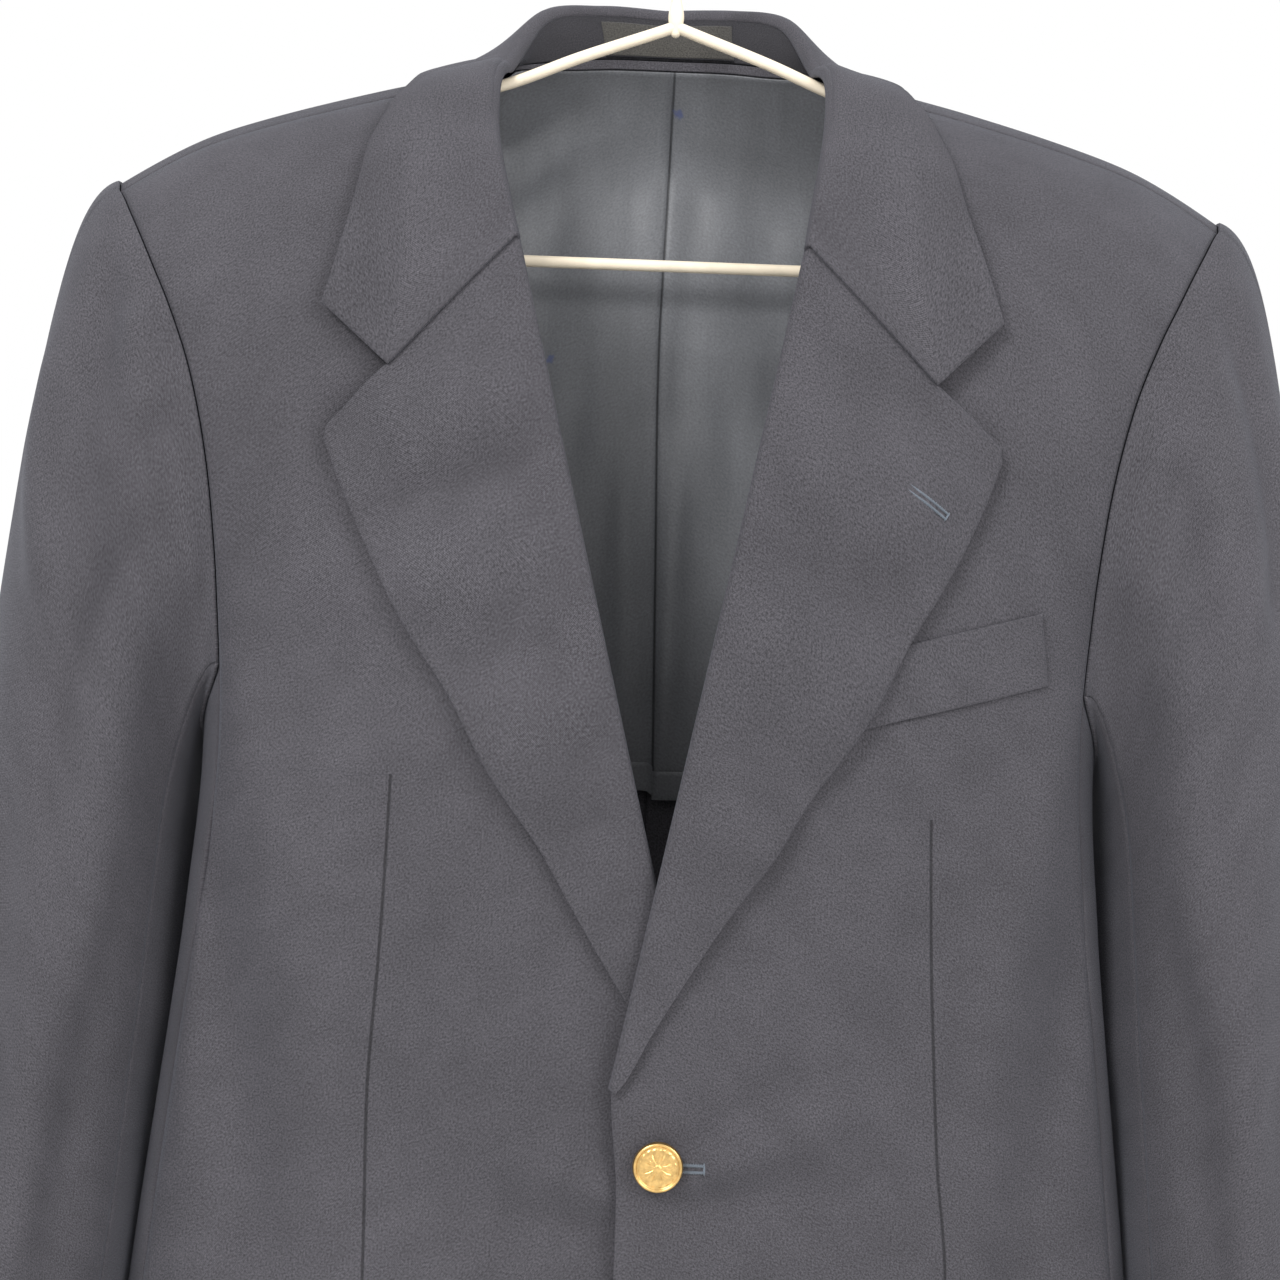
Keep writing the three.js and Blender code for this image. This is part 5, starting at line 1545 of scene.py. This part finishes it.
# %% [markdown]
# ## Hanger
#
# The hanger is bent from thin coated tube: a hook and stem, two arms that slope out under the
# shoulders and turn in to a straight bar, and a small smooth lump of coating where the stem
# meets the arms. Each length is a round section swept along its line, with domed ends.

# %% Build the hanger
TUBE_RADIUS, HOOK_RADIUS, HOOK_BEND = 2.5, 2.1, 20.0
BAR = -175.0
JUNCTION = [(0, -61), (0, -68), (0, -74.6)]
HOOK_STEM = [(11, -33), (3, -42), (0, -52), (0, -69)]
TURN_RADIUS, TURN_OUT = 19.0, 178.0
ARM = {"out": [1, 8, 40, 74, 110, 150], "height": [-72.4, -75, -86.6, -100.2, -108.6, -118.2]}
TUBE_FACETS, CAP_RINGS = 24, 5


def closed_rings(name, rings, uv, material):
    """Mesh of closed rings in a row, shut at both ends with strips of four-cornered faces."""
    rows, facets = rings.shape[:2]
    index = np.arange(rows * facets).reshape(rows, facets)
    index = np.concatenate([index, index[:, :1]], axis=1)
    ends = np.array([[k, k + 1, facets - 2 - k, facets - 1 - k] for k in range(facets // 2 - 1)])
    last = ends[:, ::-1] + (rows - 1) * facets
    quads = np.concatenate([quads_of(index), ends[:, ::-1], last[:, ::-1]])
    return make_mesh(name, rings.reshape(-1, 3), quads, uv.reshape(-1, 2), material)


def tube_along(name, line, radius, steps, swell=None):
    """Round tube along a line in the plane y = 0; a half dome closes each end."""
    line = spaced(line, even(steps))
    line = np.stack([line[:, 0], 0 * line[:, 0], line[:, 1]], axis=-1)
    tangent = unit(np.gradient(line, axis=0))
    side_way = np.stack([tangent[:, 2], 0 * line[:, 0], -tangent[:, 0]], axis=-1)
    sizes = np.full(len(line), radius) * (1.0 if swell is None else swell(even(steps)))
    caps = np.pi / 2 * (1 - np.arange(CAP_RINGS) / CAP_RINGS)
    centres = np.concatenate([line[:1] - tangent[:1] * (sizes[0] * np.sin(caps))[:, None], line,
                              line[-1:] + tangent[-1:] * (sizes[-1] * np.sin(caps[::-1]))[:, None]])
    radii = np.concatenate([sizes[0] * np.cos(caps), sizes, sizes[-1] * np.cos(caps[::-1])])
    ways = np.concatenate([np.repeat(side_way[:1], CAP_RINGS, 0), side_way,
                           np.repeat(side_way[-1:], CAP_RINGS, 0)])
    radii[[0, -1]] = 0.02
    angle = 2 * np.pi * np.arange(TUBE_FACETS) / TUBE_FACETS
    ring = (ways[:, None] * np.cos(angle)[None, :, None]
            + np.array([0, 1.0, 0]) * np.sin(angle)[None, :, None])
    length = np.repeat(np.arange(len(centres)) * 2.0, TUBE_FACETS)
    uv = np.stack([np.tile(angle * radius, len(centres)), length], axis=-1)
    return closed_rings(name, centres[:, None] + ring * radii[:, None, None], uv, hanger_material)


def arc(centre, radius, start, end, count=12):
    """Points along a circular arc in the plane y = 0, angles in degrees."""
    angle = np.radians(np.linspace(start, end, count))
    return np.stack([centre[0] + radius * np.cos(angle), centre[1] + radius * np.sin(angle)], -1)


hook = arc((0, HOOK_RADIUS - HOOK_BEND), HOOK_BEND, 180, -30, 16)
tube_along("hanger_hook_tube", np.vstack([hook, HOOK_STEM]), HOOK_RADIUS, 220)
for side in (LEFT, RIGHT):
    arm_line = np.stack([side * np.array(ARM["out"], float), np.array(ARM["height"], float)], -1)
    bend = arc((TURN_OUT + 0.9, BAR + TURN_RADIUS), TURN_RADIUS, 70, -90) * (side, 1)
    tube_along(f"hanger_arm_tube_{SIDE_NAMES[side]}", np.vstack([arm_line, bend]), TUBE_RADIUS, 220)
tube_along("hanger_bar_tube", [(-TURN_OUT, BAR), (0, BAR), (TURN_OUT, BAR)], TUBE_RADIUS, 40)


def junction_swell(share):
    """Fuller in the middle of the lump, tapering into the tube at both ends."""
    return 0.86 + 0.5 * np.sin(np.pi * share) ** 1.2


tube_along("hanger_junction", JUNCTION, TUBE_RADIUS, 40, junction_swell)
print("hanger ready")

# %% [markdown]
# ## Buttons
#
# A blazer button is a stamped metal shell over a shank: a raised rim, a flat ground and an
# ornament in low relief. The ornament here is a plain rosette of soft leaves. Only the upper
# button lies in the photograph; the lower one matches it.

# %% Build the buttons
BUTTON_RADIUS = 10.0
BUTTON_SAG = 1.6  # how far a button rides up from its hole's line
BUTTON_HEIGHTS = {"upper": -544.0, "lower": -649.0}
BUTTON_TURNS, BUTTON_RINGS = 160, 60
BUTTON = {"radius": [0, 6.6, 8.1, 8.7, 9.3, 9.8, 10.0],
          "rise": [7.1, 6.5, 6.2, 6.75, 6.8, 6.1, 4.9]}
button_rise = curve_of(BUTTON, "radius", "rise")
BUTTON_BACK = [(9.7, 3.5), (8.6, 2.7), (2.4, 2.7), (2.4, 0.3), (0.02, 0.3)]  # radius, rise


def button_relief(radius, angle):
    """A rosette: eight leaves with a rib each, a beaded ring round them and a small boss."""
    leaf = np.abs(np.cos(4 * angle)) ** 0.7 * np.exp(-((radius - 4.2) / 1.9) ** 2)
    rib = np.exp(-(np.sin(8 * angle) / 0.35) ** 2) * np.exp(-((radius - 4.2) / 1.7) ** 2)
    scroll = 0.5 + 0.5 * np.cos(16 * angle + 1.4 * radius)
    beads = scroll * np.exp(-((radius - 7.2) / 0.45) ** 2)
    boss = np.exp(-(radius / 1.3) ** 4)
    return 0.42 * leaf - 0.16 * rib + 0.22 * beads + 0.35 * boss


def build_button(name, height):
    """Revolved shell with relief on its face, closed behind and joined to a short shank."""
    face_radius = BUTTON_RADIUS * even(BUTTON_RINGS)
    angle = 2 * np.pi * np.arange(BUTTON_TURNS) / BUTTON_TURNS
    radius, around = np.meshgrid(face_radius, angle, indexing="ij")
    rise = button_rise(radius) + button_relief(radius, around) * ramp(radius, 8.0, 7.4)
    back = np.repeat(np.array(BUTTON_BACK)[:, None], BUTTON_TURNS, axis=1)
    radius = np.vstack([np.maximum(radius, 0.02), back[..., 0]])
    rise = np.vstack([rise, back[..., 1]])
    around = np.broadcast_to(angle, radius.shape)
    height = height + BUTTON_SAG
    surface = body_point(CENTRE_FRONT, run_at(CENTRE_FRONT, height, True))
    points = np.stack([CENTRE_FRONT + radius * np.cos(around), surface[1] - rise,
                       height + radius * np.sin(around)], axis=-1)
    uv = np.stack([radius * np.cos(around), radius * np.sin(around)], axis=-1)
    return closed_rings(name, points, uv, gilt_material)


for name, height in BUTTON_HEIGHTS.items():
    build_button(f"gilt_button_{name}", height)
print("buttons ready")

# %% [markdown]
# ## Stitching
#
# Fine hand work shows close up: a row of pick stitches just inside the lapel and collar
# edges, the worked buttonhole in the lapel, the front buttonholes with a bar tack at one end,
# and the lining's hem. Each stitch is a short tapered roll of thread that lies on the cloth.

# %% Stitch helpers
STITCH_RINGS, STITCH_FACETS = 5, 6


def stitches(name, starts, ends, normals, radius, material, sink=0.25):
    """Short rolls of thread from starts to ends, tapered and sunk into the cloth at both ends."""
    starts, ends, normals = (np.asarray(a, float) for a in (starts, ends, normals))
    share = np.linspace(0, 1, STITCH_RINGS)
    way = ends - starts
    centre = starts[:, None] + way[:, None] * share[None, :, None]
    arch = np.sin(np.pi * share)
    centre = centre + normals[:, None] * (radius * (arch - sink))[None, :, None]
    size = radius * (0.35 + 0.65 * arch)
    cross = unit(np.cross(unit(way), normals))
    angle = 2 * np.pi * np.arange(STITCH_FACETS) / STITCH_FACETS
    ring = (cross[:, None, None] * np.cos(angle)[None, None, :, None]
            + normals[:, None, None] * np.sin(angle)[None, None, :, None])
    points = centre[:, :, None] + ring * size[None, :, None, None]
    count = len(starts)
    index = np.arange(count * STITCH_RINGS * STITCH_FACETS).reshape(
        count, STITCH_RINGS, STITCH_FACETS)
    index = np.concatenate([index, index[..., :1]], axis=-1)
    walls = np.stack([index[:, :-1, :-1], index[:, 1:, :-1], index[:, 1:, 1:], index[:, :-1, 1:]],
                     axis=-1).reshape(-1, 4)
    first, last = index[:, 0], index[:, -1]
    caps = np.concatenate([first[:, [0, 1, 2, 3]], first[:, [0, 3, 4, 5]],
                           last[:, [3, 2, 1, 0]], last[:, [5, 4, 3, 0]]])
    length = np.linalg.norm(way, axis=-1)
    uv = np.stack(np.broadcast_arrays(angle[None, None] * radius,
                                      (length[:, None] * share)[..., None]), axis=-1)
    return make_mesh(name, points.reshape(-1, 3), np.concatenate([walls, caps]),
                     uv.reshape(-1, 2), material)


def along_line(points, normals, spacing, length):
    """Starts, ends and normals of stitches set at a spacing along a line of points."""
    steps = np.r_[0.0, np.cumsum(np.linalg.norm(np.diff(points, axis=0), axis=-1))]
    begin = np.arange(spacing / 2, steps[-1] - length, spacing)

    def at(place):
        return np.stack([np.interp(place, steps, points[:, k]) for k in range(3)], axis=-1)

    middle = np.stack([np.interp(begin, steps, normals[:, k]) for k in range(3)], axis=-1)
    return at(begin), at(begin + length), unit(middle)


# %% Pick stitches on lapels and collar
PICK_INSET, PICK_SPACING, PICK_LENGTH, PICK_RADIUS = 2.8, 2.6, 0.9, 0.17
PICK_LAPEL, PICK_COLLAR = slice(5, -6), slice(4, -4)  # rows with stitches
PICK_COLUMN = -3  # the column whose normals they stand on


def inset_line(grid, inset):
    """A line that runs a distance inside the last column of a grid."""
    steps = np.linalg.norm(grid - grid[:, -1:], axis=-1)
    share = np.stack([np.interp(inset, s[::-1], np.arange(len(s))[::-1]) for s in steps])
    low = np.clip(share.astype(int), 0, grid.shape[1] - 2)
    part = (share - low)[:, None]
    rows = np.arange(len(grid))
    return mix(grid[rows, low], grid[rows, low + 1], part)


edges = {f"lapel_{SIDE_NAMES[side]}": (*lapel_faces[side], PICK_LAPEL) for side in (LEFT, RIGHT)}
edges["collar"] = (collar_grid, collar_normals, PICK_COLLAR)
for name, (face, normals, rows) in edges.items():
    lines = along_line(inset_line(face, PICK_INSET)[rows], normals[rows, PICK_COLUMN],
                       PICK_SPACING, PICK_LENGTH)
    stitches(f"pick_stitches_{name}", *lines, PICK_RADIUS, cloth_thread)
print("pick stitches ready")

# %% Buttonholes
# ends as (across, height), the front's from the centre front and the button's height
LAPEL_HOLE = {"ends": [(91.5, -269.0), (112.0, -283.0)], "lift": 6.3, "half": 1.6, "radius": 0.26}
FRONT_HOLE = {"ends": [(-4.0, 0.0), (18.5, 0.8)], "lift": 0.1, "half": 1.9, "radius": 0.22}
HOLE_SPACING, HOLE_SLIT, HOLE_SLANT, HOLE_SINK = 0.42, 0.28, 0.12, 0.1
TACK_HALF, TACK_STEP = 1.2, 0.35


def worked_hole(name, surface, hole, origin=(0.0, 0.0)):
    """Two rows of close cross stitches either side of a slit and a bar tack at each end."""
    start, end = np.array(hole["ends"]) + origin
    half = hole["half"]
    way = unit(end - start)
    side_way = np.array([-way[1], way[0]])
    length = np.linalg.norm(end - start)
    along = np.arange(0.0, length, HOLE_SPACING)
    wobble = 0.10 * np.sin(along * 9.1) + 0.08 * np.sin(along * 23.7 + 1.0)
    lines = []
    for sign in (1, -1):
        centre = start + way * along[:, None]
        near = centre + side_way * sign * (half * HOLE_SLIT)
        far = centre + side_way * sign * (half + wobble)[:, None] + way * HOLE_SLANT
        lines.append((near, far))
    for place in (0.0, TACK_STEP, length - TACK_STEP, length):
        ends = start + way * place + side_way * np.array([[-1.0], [1.0]]) * half * TACK_HALF
        lines.append((ends[:1], ends[1:]))
    from_flat, to_flat = (np.vstack(line) for line in zip(*lines))
    begin, normals = on_surface(surface, place_of(from_flat), hole["lift"])
    finish, _ = on_surface(surface, place_of(to_flat), hole["lift"])
    return stitches(name, begin, finish, normals, hole["radius"], lapel_thread, HOLE_SINK)


worked_hole("lapel_buttonhole", lapel_surfaces[LEFT], LAPEL_HOLE)
for name, height in BUTTON_HEIGHTS.items():
    worked_hole(f"front_buttonhole_{name}", front_surfaces[LEFT], FRONT_HOLE,
                (CENTRE_FRONT, height))
print("buttonholes ready")

# %% Lining stitches
HEM_STITCH = {"height": 12.6, "spacing": 2.4, "length": 1.3, "radius": 0.16}
for side in (LEFT, RIGHT):
    out = np.linspace(2.0, 150.0, 300)
    height = LINING_HEM[side] + HEM_STITCH["height"]
    line = np.stack([side * out, run_at(side * out, height + 0 * out, False)], axis=-1)
    lift = lining_lift(side, line) - LINING_WALL - 0.02
    points, normals = on_surface(body_point, line, lift)
    steps = along_line(points, -normals, HEM_STITCH["spacing"], HEM_STITCH["length"])
    stitches(f"lining_hem_stitches_{SIDE_NAMES[side]}", *steps, HEM_STITCH["radius"],
             lining_thread)
print("pieces so far:", len(pieces))

# %% [markdown]
# ## What replaces what, and the cut of each piece
#
# Each finished piece rides the jacket's one body and replaces the node it was made for. A table
# of sheets lists the cut: the flat size before the piece was hung, all round where it is a tube,
# and the area where the cut isn't a rectangle. Each entry is read, but nothing is set from it.

REPLACES = {
    "cloth_collar_fall": "collar_fall", "cloth_collar_stand": "collar_stand",
    "cloth_neck_facing": "neck_facing", "neck_patch_tape": "neck_patch",
    "cloth_breast_welt": "breast_welt", "hanger_hook_tube": "hanger_hook",
    "hanger_bar_tube": "hanger_bar", "gilt_button_upper": "button_upper",
    "gilt_button_lower": "button_lower",
}
PAIRED = {
    "cloth_front": "front", "cloth_back": "back", "cloth_side": "side", "cloth_lapel": "lapel",
    "lining_back": "lining", "cloth_pocket_flap": "pocket_flap", "cloth_top_sleeve": "top_sleeve",
    "cloth_under_sleeve": "under_sleeve", "hanger_arm_tube": "hanger_arm",
}
for side_name in SIDE_NAMES.values():
    for stem_name, solid in PAIRED.items():
        REPLACES[f"{stem_name}_{side_name}"] = f"{solid}_{side_name}"


def mesh_area(made):
    """Area of one face of a closed wall: half of all its faces, in square metres."""
    faces = np.zeros(len(made.data.polygons))
    made.data.polygons.foreach_get("area", faces)
    return float(faces.sum() / 2)


# piece: flat width and length in metres, share of that rectangle that is cut, how held, on what
SHEETS = {
    "cloth_front": (0.300, 0.790, 0.58, "hung", "hanger_arm_tube"),
    "cloth_back": (0.250, 0.780, 0.78, "hung", "hanger_arm_tube"),
    "cloth_side": (0.115, 0.500, 0.74, "hung", "cloth_front"),
    "cloth_lapel": (0.100, 0.350, 0.56, "folded", "cloth_front"),
    "cloth_pocket_flap": (0.122, 0.056, 0.97, "hung", "cloth_front"),
    "cloth_top_sleeve": (0.270, 0.620, 0.84, "hung", "cloth_front"),
    "cloth_under_sleeve": (0.140, 0.440, 0.70, "hung", "cloth_side"),
    "lining_back": (0.215, 0.345, 0.79, "hung", "cloth_back"),
    "lining_hem": (0.170, 0.014, 0.86, "folded", "lining_back"),
    "cloth_back_allowance": (0.0145, 0.440, 0.97, "laid", "cloth_back"),
}
SINGLE_SHEETS = {
    "cloth_collar_fall": (0.470, 0.085, 0.77, "folded", "cloth_collar_stand"),
    "cloth_collar_stand": (0.190, 0.022, 0.81, "hung", "cloth_neck_facing"),
    "cloth_neck_facing": (0.170, 0.010, 0.42, "hung", "cloth_collar_stand"),
    "neck_patch_tape": (0.060, 0.0195, 0.95, "laid", "cloth_collar_stand"),
    "cloth_breast_welt": (0.088, 0.033, 0.96, "laid", "cloth_front_left"),
}
for side_name in SIDE_NAMES.values():
    for stem_name, (wide, long, share, held, on) in SHEETS.items():
        SINGLE_SHEETS[f"{stem_name}_{side_name}"] = (wide, long, share, held, f"{on}_{side_name}")

for name, made in pieces.items():
    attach(made, "root")
    if name in REPLACES:
        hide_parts(REPLACES[name])
    if name in SINGLE_SHEETS:
        wide, long, share, held, on = SINGLE_SHEETS[name]
for name, made in pieces.items():
    size = np.ptp(np.array(made.bound_box), axis=0)
    print(f"{name}: {len(made.data.polygons)} faces, area {mesh_area(made):.4f} m2,",
          "box", [round(float(v), 3) for v in size])
